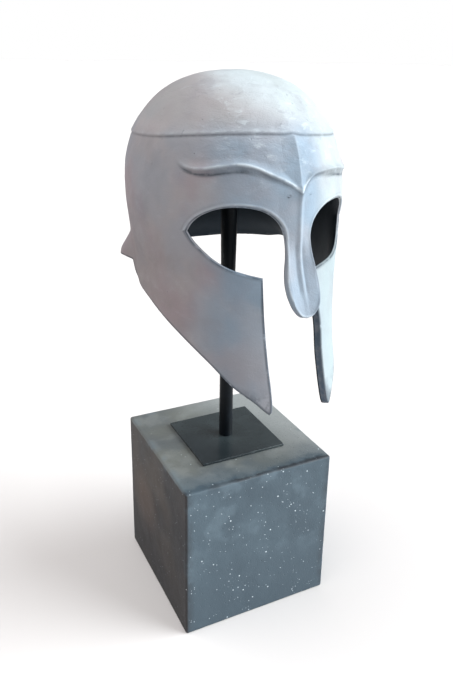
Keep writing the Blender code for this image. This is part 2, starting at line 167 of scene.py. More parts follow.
CHART_RADIUS = 0.12  # the wall is laid out flat as turn * radius across and height up
FINE = 0.00135  # spacing of the mesh over the face
OFF_MIDDLE = 0.3 * FINE  # rows inside the outline stop this far from the middle of the face
FINE_ZONE = 0.15  # the face and cheeks, in metres across the chart
COARSE_STEP = 2  # elsewhere every second row and column of it is kept
INNER = 0.005  # spacing of the mesh inside
OUTER_GAP, INNER_GAP, CAP_GAP = 0.72, 0.4, 0.6  # shares of the spacing that its points keep from lines
EDGE_STEP = 0.0014  # spacing of the points along rims and ridges
RIM_ROWS = (0.076, 0.293, 0.617, 1.0)  # rows over a rounded edge, in shares of its radius
LIP_ROWS = (0.0018, 0.0024, 0.0029, 0.0034, 0.004, 0.0047, 0.0055)
CREST_ROWS = (-0.004, -0.0022, -0.001, -0.0003, 0.0004, 0.0011, 0.002, 0.0032, 0.0046, 0.0062, 0.0078)
RIB_ROWS = (0.0007, 0.0013, 0.0019, 0.0026, 0.0035)
RIB_Z = (0.405, 0.556)  # heights between which those last rows run
RIM_CLEARANCE = 0.0006  # the rows along ridges stop this far from the rounded rims
NEAREST, FARTHEST = 0.92, 1.06  # a row is dropped where its distance strays beyond these shares
NEAREST_RIM = 0.9
NUDGE = 1e-4  # small step that measures how the chart stretches
RIM_TAPER = 0.03  # distance from the rim behind the cheek pieces over which the wall thins
WELD = 4e-6  # points of neighbouring sheets closer than this are one
INSIDE_ONLY, TOUCH = 1, 1e-7  # of a triangulation: its outline bounds it; points this near are one
CUT_ROWS = 4  # quads across the cut face of the wall
CUT_SHARES = (0.2, 0.8)  # how far inside its outer and inner edges count
FAR_FROM_RIM = 0.1  # rim gap of points that no rim is near
# The second layer holds painted shade in grooves, under the ridges and under the seam step, with some grime;
# the third holds painted highlights on crests and edges, with some wear
OUTER_LAYERS = ("relief", "grime_and_shade", "wear_and_highlight", "inside", "rim_gap")
KEPT_LAYERS = OUTER_LAYERS[1:]
INNER_LAYERS = ("thickness", "rim_gap")


def smooth_at(rows, at):
    """Every later column of a table, read at one value of its first column, on a smooth curve."""
    table = np.array(rows)
    keys, values = table[:, 0], table[:, 1:]
    at = np.clip(at, keys[0], keys[-1])
    row = np.clip(np.searchsorted(keys, at, side="right") - 1, 0, len(keys) - 2)
    slopes = np.gradient(values, keys, axis=0)
    span = (keys[row + 1] - keys[row])[..., None]
    part = (at - keys[row])[..., None] / span
    start, end = values[row], values[row + 1]
    leave, arrive = slopes[row] * span, slopes[row + 1] * span
    rise = part * part * (3 - 2 * part)
    return (
        start + (end - start) * rise
        + leave * part * (1 - part) ** 2
        - arrive * part * part * (1 - part)
    )


def curve(rows, at):
    """The second column of a table, read as smooth_at reads it."""
    return smooth_at(rows, at)[..., 0]


def smooth_path(points, step):
    """Points at an even step along a smooth curve through the points given."""
    points = np.array(points, dtype=float)
    lengths = np.linalg.norm(np.diff(points, axis=0), axis=1)
    keys = np.concatenate([[0.0], np.cumsum(lengths)])
    count = max(2, round(keys[-1] / step) + 1)
    return smooth_at(np.column_stack([keys, points]), np.linspace(0.0, keys[-1], count))


def ramp(value, start, end):
    """0 at start and 1 at end, straight between them."""
    return np.clip((value - start) / (end - start), 0.0, 1.0)


def ease(value, start, end):
    """0 at start and 1 at end, on a smooth curve between them."""
    part = ramp(value, start, end)
    return part * part * (3 - 2 * part)


def bell(value, middle, width):
    """1 at the middle, and fading to 0 on both sides of it."""
    return np.exp(-(((value - middle) / width) ** 2))


def reach(z):
    """Half width, front reach and back reach of the helmet's outer form at a height."""
    z = np.asarray(z, dtype=float)
    rise = np.clip((z - BROAD_Z) / (CROWN_Z - BROAD_Z), 0.0, 1.0)
    skirt = smooth_at(SKIRT, z)
    sizes = (BROAD_WIDTH, BROAD_FRONT, BROAD_BACK)
    powers = (WIDTH_ROUNDNESS, FRONT_ROUNDNESS, BACK_ROUNDNESS)
    width, front, back = (s * (1 - rise**p) ** (1 / p) for s, p in zip(sizes, powers))
    below = z < BROAD_Z
    return np.where(below, skirt[..., 0], width), np.where(below, skirt[..., 1], front), back


def turn_from_side(x, z):
    """Turn from the front of the point on the face that lies a distance from its middle."""
    width = reach(z)[0]
    return np.arcsin(np.clip(x / width, 0.0, 1.0) ** (BROW_BLUNTNESS / 2))


def turn_from_depth(y, z):
    """Turn from the front of the point on the side that lies a distance behind the axis."""
    _, front, back = reach(z)
    ahead = np.arccos(np.clip(-y / front, 0.0, 1.0) ** (FACE_FULLNESS / 2))
    behind = math.pi - np.arccos(np.clip(y / back, 0.0, 1.0) ** (NAPE_FULLNESS / 2))
    return np.where(y < 0, ahead, behind)


def flare(turn, z):
    """How far the neck guard stands outside the plain form."""
    start = np.clip((turn - FLARE_START) / (FLARE_FULL - FLARE_START), 0.0, 1.0)
    round_nape = np.clip((turn - FLARE_FULL) / (math.pi - FLARE_FULL), 0.0, 1.0)
    size = (FLARE_SIDE + (FLARE_BACK - FLARE_SIDE) * round_nape) * start * start * (3 - 2 * start)
    rim = curve(NECK_RIM, np.degrees(turn))
    drop = np.clip((FLARE_TOP_Z - z) / (FLARE_TOP_Z - rim), 0.0, 1.0)
    return size * np.sin(drop * math.pi / 2) ** 2


def base_points(turn, z):
    """Points of the outer form before its ridges and lips are raised."""
    width, front, back = reach(z)
    side, along = np.abs(np.sin(turn)), np.abs(np.cos(turn))
    facing = turn < math.pi / 2
    x = width * side ** np.where(facing, 2 / BROW_BLUNTNESS, 2 / NAPE_FULLNESS)
    y = np.where(facing, -front * along ** (2 / FACE_FULLNESS), back * along ** (2 / NAPE_FULLNESS))
    on_nasal = facing & (x < NASAL_LIMIT) & (z < NASAL_REACH[-1][0])
    y = y - np.where(on_nasal, curve(NASAL_REACH, z) - front, 0.0)
    out = flare(turn, z)
    return np.column_stack([x + out * side, y + out * np.where(facing, -along, along), z])


def seam_height(turn):
    return curve(SEAM, np.degrees(turn))


# ---------------------------------------------------------------- the wall laid out flat


def face_line(rows):
    """Chart points of a table of distances from the middle of the face and heights."""
    x, z = np.array(rows)[:, :2].T
    return np.column_stack([turn_from_side(x, z) * CHART_RADIUS, z])


def side_line(rows):
    y, z = np.array(rows).T
    return np.column_stack([turn_from_depth(y, z) * CHART_RADIUS, z])


def turn_line(rows):
    turn, z = np.array(rows).T
    return np.column_stack([np.radians(turn) * CHART_RADIUS, z])


def chart_to_space(chart):
    return base_points(chart[:, 0] / CHART_RADIUS, chart[:, 1])


def seam_turns():
    """Turns of the points along half the seam, at an even step."""
    return np.linspace(0.0, math.pi, round(math.pi * CHART_RADIUS / (2 * FINE)) + 1)


def band_edges():
    """The edges of half the wall below the seam, in order round it, as chart polylines."""
    drop = SEAM_PROFILE[-1][0]
    middle_top = np.array([0.0, seam_height(0.0) + drop])
    nape_top = np.array([math.pi * CHART_RADIUS, seam_height(math.pi) + drop])
    turns = seam_turns()
    eye = smooth_path(face_line(NASAL_EDGE), EDGE_STEP)
    rim = smooth_path(turn_line(NECK_RIM), EDGE_STEP)
    return {
        "middle": smooth_path([middle_top, eye[0]], FINE),
        "eye": eye,
        "lower_eye": smooth_path(face_line(LOWER_EYE_EDGE), EDGE_STEP),
        "cheek_front": smooth_path(face_line(CHEEK_FRONT_EDGE), EDGE_STEP),
        "cheek_lower": smooth_path(side_line(CHEEK_LOWER_EDGE), EDGE_STEP),
        "rim": rim,
        "nape": smooth_path([rim[-1], nape_top], 2 * FINE),
        "seam": np.column_stack([turns * CHART_RADIUS, seam_height(turns) + drop])[::-1],
    }


def beside(line, distance):
    """A chart line moved over the surface, to the right of its direction when positive."""
    turn, z = np.maximum(line[:, 0] / CHART_RADIUS, NUDGE), line[:, 1]
    here = base_points(turn, z)
    across = np.linalg.norm(base_points(turn + NUDGE, z) - here, axis=1) / NUDGE / CHART_RADIUS
    up = np.linalg.norm(base_points(turn, z + NUDGE) - here, axis=1) / NUDGE
    stretch = np.column_stack([across, up])
    run = np.gradient(line, axis=0) * stretch
    run /= np.linalg.norm(run, axis=1)[:, None]
    return line + np.column_stack([run[:, 1], -run[:, 0]]) * distance / stretch


def stretches(points, lines):
    """Every stretch of several polylines: its start, its run and the points' squared distances from it."""
    for line in lines:
        for start, end in zip(line[:-1], line[1:]):
            run = end - start
            part = np.clip((points - start) @ run / max(run @ run, 1e-18), 0.0, 1.0)
            gap = points - start - part[:, None] * run
            yield start, run, np.einsum("ij,ij->i", gap, gap)


def distance_to_lines(points, lines):
    """Shortest distance from each point to any of several polylines."""
    best = np.full(len(points), np.inf)
    for _, _, gap in stretches(points, lines):
        best = np.minimum(best, gap)
    return np.sqrt(best)


def lattice(outline, spacing, zone):
    """Points of a triangular lattice round an outline: all of them short of the zone's end, else fewer."""
    low, high = outline.min(axis=0), outline.max(axis=0)
    row_height = spacing * math.sqrt(3) / 2
    rows = np.arange(int((high[1] - low[1]) / row_height) + 2)
    columns = np.arange(int((high[0] - low[0]) / spacing) + 3)
    row, column = (grid.ravel() for grid in np.meshgrid(rows, columns, indexing="ij"))
    x = low[0] + (column - 0.5 * (row % 2)) * spacing
    points = np.column_stack([x, low[1] + row * row_height])
    wide = (row % 2 == 0) & ((column + row // 2) % 2 == 0)
    return points[wide | (points[:, 0] < zone)]


def fill_chart(outline, lines, inner):
    """Triangles that fill a closed chart outline, follow the lines inside it and use the inner points."""
    points = [tuple(p) for p in outline]
    edges = [(i, (i + 1) % len(outline)) for i in range(len(outline))]
    for line in lines:
        first = len(points)
        points += [tuple(p) for p in line]
        edges += [(first + i, first + i + 1) for i in range(len(line) - 1)]
    points += [tuple(p) for p in inner]
    result = delaunay_2d_cdt([Vector(p) for p in points], edges, [], INSIDE_ONLY, TOUCH)
    return np.array([tuple(p) for p in result[0]]), result[2]


def search_tree(places):
    """A tree that finds the nearest of some places."""
    tree = KDTree(len(places))
    for i, place in enumerate(places):
        tree.insert(place, i)
    tree.balance()
    return tree


def clear_points(points, crowded, gap):
    """The points that keep a gap from every crowded one."""
    tree = search_tree([(x, y, 0.0) for x, y in crowded])
    return np.array([p for p in points if tree.find((p[0], p[1], 0.0))[2] > gap])


def split_where(line, keep):
    """The stretches of a line whose points are all kept."""
    parts, current = [], []
    for point, kept in zip(line, keep):
        if kept:
            current.append(point)
        elif current:
            parts.append(np.array(current))
            current = []
    if current:
        parts.append(np.array(current))
    return [part for part in parts if len(part) > 1]


# ---------------------------------------------------------------- relief and thickness of the wall


def opening_line(edges):
    """The rim of half the wall as one chart line: eye, cheek piece and neck guard."""
    names = ("eye", "lower_eye", "cheek_front", "cheek_lower")
    return np.vstack([edges[name][:-1] for name in names] + [edges["rim"]])


def rounding(distance, radius):
    """Drop of a rounded edge at a distance from it."""
    return radius * (1 - np.sqrt(np.clip(1 - ramp(distance, radius, 0.0) ** 2, 0.0, 1.0)))


def signed_crest(places, crest):
    """Distance from the brow crest, positive below it."""
    distance = distance_to_lines(places, [crest])
    crest_z = np.interp(places[:, 0], crest[:, 0], crest[:, 2])
    return np.where(places[:, 2] < crest_z, distance, -distance)


def brow_relief(places, crest, looks):
    """Height, painted shade and painted highlight of the arched brow ridge: hollow above its sharp crest and
    soft below it.
    """
    away = signed_crest(places, crest)
    x = places[:, 0]
    height, under = smooth_at(BROW_SHAPE, x).T
    height = height * looks.brow_height
    on_ridge = ramp(x, crest[-1, 0] + 0.004, crest[-1, 0] - 0.002) * (places[:, 1] < 0)
    above = ramp(away, -0.008, 0.0) ** 1.9
    below = 0.3 * ramp(away, 0.0018, 0.0) + 0.7 * ramp(away, under, 0.0)
    soft = 0.0003 * bell(away, 0.0, 0.0007)
    outer = ease(x, 0.024, 0.052)
    # Painted shade: a dark line at the foot of the ridge's underside, and a shaded band over the underside
    line = bell(away, 0.88 * under, 0.0015) * (0.25 + 0.75 * outer)
    fading = ramp(away, 1.2 * under, 0.0016)
    band = fading + (ramp(away, 1.15 * under, 0.8 * under) - fading) * outer
    band = ramp(away, 0.0004, 0.0014) * band
    # Painted highlight along the crest
    wear_and_highlight = bell(away, -0.0002, 0.0013) * (1.0 - 0.45 * ease(x, 0.04, 0.06))
    strength = ramp(height, 0.0004, 0.002) * on_ridge
    grime_and_shade = np.maximum((0.8 - 0.3 * outer) * band, 1.15 * line)
    return (height * np.where(away < 0, above, below) - soft) * on_ridge, grime_and_shade * strength, wear_and_highlight * strength


def middle_relief(places, looks):
    """Height, painted shade and painted highlight of the ridge down the forehead, the bridge and the dished,
    ribbed nose guard.
    """
    x, z = places[:, 0], places[:, 2]
    on_face = places[:, 1] < 0
    keel = ramp(x, looks.keel_reach, 0.0) ** 1.9 * ease(z, 0.5605, 0.556) * ease(z, 0.5, 0.516)
    bridge = ramp(x, 0.02, 0.0) ** 1.1 * ease(z, 0.448, 0.476) * ease(z, 0.519, 0.508)
    dish = ramp(x, 0.002, 0.0125) ** 1.4 * ease(z, 0.472, 0.444) * (x < NASAL_LIMIT)
    rib = bell(x, 0.0, 0.0022) * ease(z, 0.406, 0.433) * ease(z, 0.519, 0.513)
    groove = bell(x, 0.0036, 0.0012) * ease(z, 0.414, 0.426) * ease(z, 0.472, 0.46)
    height = looks.keel_height * keel + looks.bridge_height * bridge + looks.dish_depth * dish
    height = height + looks.rib_height * rib - 0.0003 * groove
    # Painted highlight along the nose rib and the forehead ridge, and painted shade in the groove beside the
    # rib
    wear_and_highlight = np.maximum(0.16 * rib, 0.12 * bell(x, 0.0, 0.0012) * (keel > 0))
    return height * on_face, 0.45 * groove * on_face, wear_and_highlight * on_face


def carried_on(line, length=0.012, steps=8):
    """A chart line that runs straight on past its end."""
    run = line[-1] - line[-3]
    run = run / np.linalg.norm(run)
    return np.vstack([line, line[-1] + run * np.linspace(0, length, steps + 1)[1:, None]])


def space_distance(places, *lines):
    """Shortest distance from each place to any of several chart lines as they lie on the helmet."""
    return distance_to_lines(places, [chart_to_space(line) for line in lines])


def side_of(points, line):
    """1 for the points to the right of a chart line's direction, and else -1."""
    best, side = np.full(len(points), np.inf), np.ones(len(points))
    for start, run, gap in stretches(points, [line]):
        cross = run[0] * (points[:, 1] - start[1]) - run[1] * (points[:, 0] - start[0])
        side = np.where(gap < best, np.where(cross < 0, 1.0, -1.0), side)
        best = np.minimum(best, gap)
    return side


def eye_distance(chart, edges):
    """Distance outside the eye opening, with a pointed outer corner as on a mitred frame."""
    places = chart_to_space(chart)
    upper = carried_on(edges["eye"])
    lower = carried_on(edges["lower_eye"][::-1])
    above = space_distance(places, upper) * -side_of(chart, upper)
    below = space_distance(places, lower) * side_of(chart, lower)
    return np.where(places[:, 0] < NASAL_LIMIT, above, np.maximum(above, below))


def lip_relief(chart, places, edges, looks):
    """Height, painted shade and painted highlight of the bevelled rim of the eye openings, which sharpens
    down the nose guard.
    """
    distance = eye_distance(chart, edges)
    x, z = places[:, 0], places[:, 2]
    on_face = places[:, 1] < 0
    on_low = (z < 0.47) & (x > 0.03)
    nose = ease(z, 0.48, 0.458) * (x < NASAL_LIMIT)
    corner = bell(x, EYE_CORNER[0], 0.01) * bell(z, EYE_CORNER[1], 0.012)
    width = looks.lip_width * (1.0 - 0.28 * ease(x, 0.05, 0.075))
    width = np.where(on_low, looks.low_lip_width, width) + 0.0004 * corner
    width = width + (looks.nose_lip_width - width) * nose
    depth = np.where(on_low, 0.7, 1.0) * (1.0 - 0.7 * nose)
    drop = ramp(distance, width, 0.0)
    bead = bell(distance - width, 0.0007, 0.0011) * (1.0 - 0.5 * nose) * ~on_low
    crease = bell(distance - width, np.where(on_low, 0.0008, 0.0026), 0.001)
    crease = crease * (np.where(on_low, 0.8, 0.3) + 0.3 * corner) * (1.0 - 0.8 * nose)
    height = (looks.lip_height * (0.3 * bead - drop * depth) - 0.00015 * crease) * on_face
    # Painted highlight along the bevel's outer edge
    wear_and_highlight = np.where(on_low, 0.0, 0.3 + 0.3 * ease(x, 0.08, 0.045))
    wear_and_highlight = wear_and_highlight * bell(distance - width, 0.0001, 0.0008) * on_face
    # Painted shade in the crease outside the bevel and on the bevel towards the nose
    towards_nose = ease(x, 0.078, 0.04) * (1.0 - nose)
    bevel = ramp(distance, width, 0.6 * width) * np.where(on_low, 0.0, 0.12 + 0.26 * towards_nose)
    return height, np.maximum(0.55 * crease, bevel) * on_face, wear_and_highlight


def wall_thickness(places, edges, looks):
    """Thickness of the wall at its points: it thins towards the eyes and the rim behind the cheek pieces."""
    near = ramp(space_distance(places, edges["eye"], edges["lower_eye"]), looks.eye_taper, 0.0)
    on_nose = places[:, 0] < NASAL_LIMIT
    near = np.maximum(near, ease(places[:, 2], 0.488, 0.462) * on_nose)
    down_nose = ease(places[:, 2], 0.478, 0.42) * on_nose
    thin = looks.eye_wall + (looks.wall - looks.eye_wall) * down_nose
    at_rim = ramp(space_distance(places, edges["cheek_lower"], edges["rim"]), RIM_TAPER, 0.0)
    at_rim = at_rim * ease(places[:, 1], -0.05, -0.005)
    return looks.wall - (looks.wall - thin) * near * near - looks.rim_thinning * at_rim * at_rim


def outer_looks(chart, places, edges, looks):
    """Relief of the outer sheet and what its finish follows: columns relief, grime and painted shade, wear
    and painted highlight, inside, rim gap.
    """
    crest = chart_to_space(smooth_path(face_line(BROW_CREST), EDGE_STEP))
    gap = space_distance(places, opening_line(edges))
    brow, brow_shade, brow_highlight = brow_relief(places, crest, looks)
    middle, middle_shade, middle_highlight = middle_relief(places, looks)
    lip, lip_shade, lip_highlight = lip_relief(chart, places, edges, looks)
    relief = np.maximum(brow, middle) + np.minimum(brow, 0) * (middle > 0) + lip
    relief = relief - rounding(gap, looks.rim_round)
    grime_and_shade = np.maximum.reduce([brow_shade, middle_shade, lip_shade])
    wear_and_highlight = np.maximum.reduce([brow_highlight, middle_highlight, lip_highlight])
    inside = CUT_SHARES[0] * ramp(gap, looks.rim_round, 0.0)
    return np.column_stack([relief, grime_and_shade, wear_and_highlight, inside, gap])


# ---------------------------------------------------------------- sheets of the wall


def rim_lines(edges, radius):
    """Rows beside the whole rounded rim, without the stretches where they would cross at a corner."""
    opening = opening_line(edges)
    lines = []
    for distance in (share * radius for share in RIM_ROWS):
        line = beside(opening, -distance)
        apart = space_distance(chart_to_space(line), opening)
        lines += split_where(line, (apart > NEAREST_RIM * distance) & (line[:, 0] > OFF_MIDDLE))
    return lines


def feature_lines(edges, looks):
    """Rows along the lip, the brow crest and the rib, each clear of those before it."""
    opening = opening_line(edges)
    crest = smooth_path(face_line(BROW_CREST), EDGE_STEP)
    wanted = []
    for distance in LIP_ROWS:
        for edge, hand in ((edges["eye"], -1), (edges["lower_eye"][::-1], 1)):
            line = beside(carried_on(edge), hand * distance)
            apart = space_distance(chart_to_space(line), opening)
            mitred = eye_distance(line, edges)
            wanted.append((line, (apart > NEAREST * distance) & (mitred < FARTHEST * distance)))
    for distance in (0.0, *CREST_ROWS):
        line = beside(crest, distance)
        apart = space_distance(chart_to_space(line), crest)
        wanted.append((line, apart > NEAREST * abs(distance)))
    z = np.arange(*RIB_Z, EDGE_STEP)
    for side in RIB_ROWS:
        wanted.append((face_line(np.column_stack([np.full(len(z), side), z])), z > 0))
    lines = []
    for line, keep in wanted:
        clear = space_distance(chart_to_space(line), opening) > looks.rim_round + RIM_CLEARANCE
        lines += split_where(line, keep & clear & (line[:, 0] > OFF_MIDDLE))
    return lines


def filled_band(edges, lines, spacing, zone, gap):
    """Chart points and triangles of half a wall below the seam, with a lattice clear of its lines."""
    outline = np.vstack([line[:-1] for line in edges.values()])
    inner = clear_points(lattice(outline, spacing, zone), np.vstack([outline, *lines]), gap)
    return fill_chart(outline, lines, inner)


def outer_band(looks):
    """Half the outer wall below the seam: its base points, their looks and triangles."""
    edges = band_edges()
    lines = rim_lines(edges, looks.rim_round) + feature_lines(edges, looks)
    chart, faces = filled_band(edges, lines, FINE, FINE_ZONE, OUTER_GAP * FINE)
    places = chart_to_space(chart)
    return places, outer_looks(chart, places, edges, looks), faces


def inner_band(looks):
    """Half the inside below the seam: its base points, their thickness and rim gap, and triangles."""
    edges = band_edges()
    lines = rim_lines(edges, looks.inner_round)
    chart, faces = filled_band(edges, lines, INNER / COARSE_STEP, 0.0, INNER_GAP * INNER)
    places = chart_to_space(chart)
    gap = space_distance(places, opening_line(edges))
    thickness = wall_thickness(places, edges, looks) - rounding(gap, looks.inner_round)
    return places, np.column_stack([thickness, gap]), faces


def round_crown(chart):
    """Turn from the front and lean from the upright of chart points laid out round the crown."""
    turn = np.arctan2(np.maximum(chart[:, 1], 0.0), chart[:, 0])
    return turn, np.linalg.norm(chart, axis=1) / CHART_RADIUS


def cap_chart(spacing):
    """Half the dome above the seam's rows, laid out round the crown: turn, height and triangles."""
    turn = seam_turns()
    top = seam_height(turn) + SEAM_PROFILE[0][0]
    lean = np.arccos((top - BROAD_Z) / (CROWN_Z - BROAD_Z))
    ring = np.column_stack([np.cos(turn), np.sin(turn)]) * (lean * CHART_RADIUS)[:, None]
    ring[-1, 1] = 0.0
    middle = smooth_path([ring[-1], (0.0, 0.0), ring[0]], spacing)
    outline = np.vstack([ring[:-1], middle[:-1]])
    inner = lattice(outline, spacing, math.inf)
    inner_turn, inner_lean = round_crown(inner)
    inner = inner[(inner_lean < np.interp(inner_turn, turn, lean)) & (inner[:, 1] > 0)]
    chart, faces = fill_chart(outline, [], clear_points(inner, outline, CAP_GAP * spacing))
    turn, lean = round_crown(chart)
    return turn, BROAD_Z + (CROWN_Z - BROAD_Z) * np.cos(lean), faces


def seam_rows():
    """The rows across the seam: turn, height and quads, with the cap's edge first."""
    turn = seam_turns()
    heights = [row[0] for row in SEAM_PROFILE]
    count = len(turn)
    turns = np.tile(turn, len(heights))
    z = np.concatenate([seam_height(turn) + height for height in heights])
    faces = [
        (row * count + i, row * count + i + 1, (row + 1) * count + i + 1, (row + 1) * count + i)
        for row in range(len(heights) - 1)
        for i in range(count - 1)
    ]
    return turns, z, faces


def seam_looks(turn, z, places, looks):
    """Relief, painted shade and painted highlight over the seam and the dome, in the columns of outer_looks.
    """
    above = z - seam_height(turn)
    relief, grime_and_shade, wear_and_highlight = smooth_at(SEAM_PROFILE[::-1], above).T
    top, top_relief = SEAM_PROFILE[0][:2]
    dome = looks.seam_step / SEAM_STEP * top_relief * np.exp(-(above - top) / SEAM_FADE)
    relief = np.where(above > top, dome, relief * looks.seam_step / SEAM_STEP)
    on_cap = above > top + WELD / 4
    fade = 0.35 + 0.65 * ease(np.degrees(turn), 100.0, 60.0)
    grime_and_shade, wear_and_highlight = (np.where(on_cap, 0.0, value * fade) for value in (grime_and_shade, wear_and_highlight))
    keel = middle_relief(places, looks)[0]
    zero = np.zeros(len(z))
    return np.column_stack([relief + keel, grime_and_shade, wear_and_highlight, zero, zero + FAR_FROM_RIM])


def left_hand(places):
    """The half on the helmet's left side, with the small liberties of the hand that made it."""
    x, y, z = places.T
    ahead = ease(y, 0.01, -0.05)
    brow = curve(LEFT_BROW, x) * ease(z, 0.4985, 0.519) * ease(z, 0.556, 0.54)
    seam = curve(LEFT_SEAM, x) * ease(z, 0.54, 0.556) * ease(z, 0.6, 0.568)
    cheek = ease(z, 0.37, 0.43) * ease(z, 0.464, 0.44) * ease(x, 0.07, 0.03) * (x > NASAL_LIMIT)
    inwards, up = LEFT_CORNER
    notch = bell(y, 0.02, 0.03) * ease(z, 0.445, 0.41)
    forwards, raised = LEFT_NOTCH
    at_tip = ease(z, 0.36, 0.302) * (y < -0.05)
    from_tip = np.clip(np.abs(x * TIP_ACROSS[0] + y * TIP_ACROSS[1] - TIP_MIDDLE) / TIP_HALF, 0.0, 1.0) ** 2
    tip = LEFT_TIP_ROUND * from_tip * ease(z, 0.316, 0.302) * (y < -0.1)
    return np.column_stack([
        x + inwards * cheek * ahead + LEFT_TIP_OUT * at_tip,
        y - forwards * notch,
        z + (brow + seam + up * cheek) * ahead + raised * notch + tip - LEFT_TIP_DOWN * at_tip,
    ])


def both_hands(sheet, places, columns, faces, layers):
    """Adds half a sheet and its mirror to a bmesh, with a value layer for each column."""
    for half in (left_hand(places), places * (-1, 1, 1)):
        verts = []
        for place, values in zip(half, columns):
            vert = sheet.verts.new(place)
            for layer, value in zip(layers, values):
                vert[layer] = value
            verts.append(vert)
        for face in faces:
            sheet.faces.new([verts[i] for i in face])


def joined_sheet(parts, names):
    """One open sheet, welded, with its faces outwards."""
    sheet = bmesh.new()
    layers = [sheet.verts.layers.float.new(name) for name in names]
    for places, columns, faces in parts:
        both_hands(sheet, places, columns, faces, layers)
    bmesh.ops.remove_doubles(sheet, verts=sheet.verts, dist=WELD)
    loose = [vert for vert in sheet.verts if not vert.link_faces]
    bmesh.ops.delete(sheet, geom=loose, context="VERTS")
    bmesh.ops.triangulate(sheet, faces=sheet.faces)
    bmesh.ops.recalc_face_normals(sheet, faces=sheet.faces)
    crown = max(sheet.verts, key=lambda vert: vert.co.z)
    if crown.normal.z < 0:
        bmesh.ops.reverse_faces(sheet, faces=sheet.faces)
    sheet.normal_update()
    return sheet


def outer_sheet(looks):
    parts = [outer_band(looks)]
    for turn, z, faces in (seam_rows(), cap_chart(COARSE_STEP * FINE)):
        places = base_points(turn, z)
        parts.append((places, seam_looks(turn, z, places, looks), faces))
    return joined_sheet(parts, OUTER_LAYERS)


def inner_sheet(looks):
    parts = [inner_band(looks)]
    for turn, z, faces in (seam_rows(), cap_chart(INNER)):
        columns = np.column_stack([np.full(len(z), looks.wall), np.full(len(z), FAR_FROM_RIM)])
        parts.append((base_points(turn, z), columns, faces))
    return joined_sheet(parts, INNER_LAYERS)


def wall_mesh(looks):
    """The cast wall: the outer sheet with its relief, an inner sheet and the cut face between them."""
    outer, inner = outer_sheet(looks), inner_sheet(looks)
    shell = bmesh.new()
    kept = {name: shell.verts.layers.float.new(name) for name in KEPT_LAYERS}
    read = {name: outer.verts.layers.float[name] for name in OUTER_LAYERS}
    thickness, gap = (inner.verts.layers.float[name] for name in INNER_LAYERS)

    def add(place, values):
        vert = shell.verts.new(place)
        for name, value in zip(KEPT_LAYERS, values):
            vert[kept[name]] = value
        return vert

    outside = {
        vert: add(vert.co + vert.normal * vert[read["relief"]], [vert[read[name]] for name in KEPT_LAYERS])
        for vert in outer.verts
    }
    inward = {
        vert: add(vert.co - vert.normal * vert[thickness], (0.0, 0.0, 1.0, vert[gap]))
        for vert in inner.verts
    }
    for face in outer.faces:
        shell.faces.new([outside[vert] for vert in face.verts])
    for face in inner.faces:
        shell.faces.new([inward[vert] for vert in reversed(face.verts)])
    rim = [vert for vert in inner.verts if vert.is_boundary]
    tree = search_tree([vert.co for vert in rim])
    columns = {}
    for vert in outer.verts:
        if vert.is_boundary:
            _, index, apart = tree.find(vert.co)
            if apart > WELD:
                raise RuntimeError(f"the inside has no rim point at {tuple(vert.co)}")
            start, end = outside[vert], inward[rim[index]]
            shares = np.linspace(*CUT_SHARES, CUT_ROWS + 1)
            between = [
                add(start.co.lerp(end.co, i / CUT_ROWS), (0.0, 0.0, shares[i], 0.0))
                for i in range(1, CUT_ROWS)
            ]
            columns[vert] = [start, *between, end]
    for edge in outer.edges:
        if edge.is_boundary:
            loop = edge.link_loops[0]
            first, second = columns[loop.link_loop_next.vert], columns[loop.vert]
            for i in range(CUT_ROWS):
                shell.faces.new([first[i], second[i], second[i + 1], first[i + 1]])
    outer.free()
    inner.free()
    return shell


# ---------------------------------------------------------------- node trees


def both_orders(operation):
    """An operator's two methods: with the value first, and with the value second."""
    return (
        lambda self, other: self.tree.maths(operation, self, other),
        lambda self, other: self.tree.maths(operation, other, self),
    )


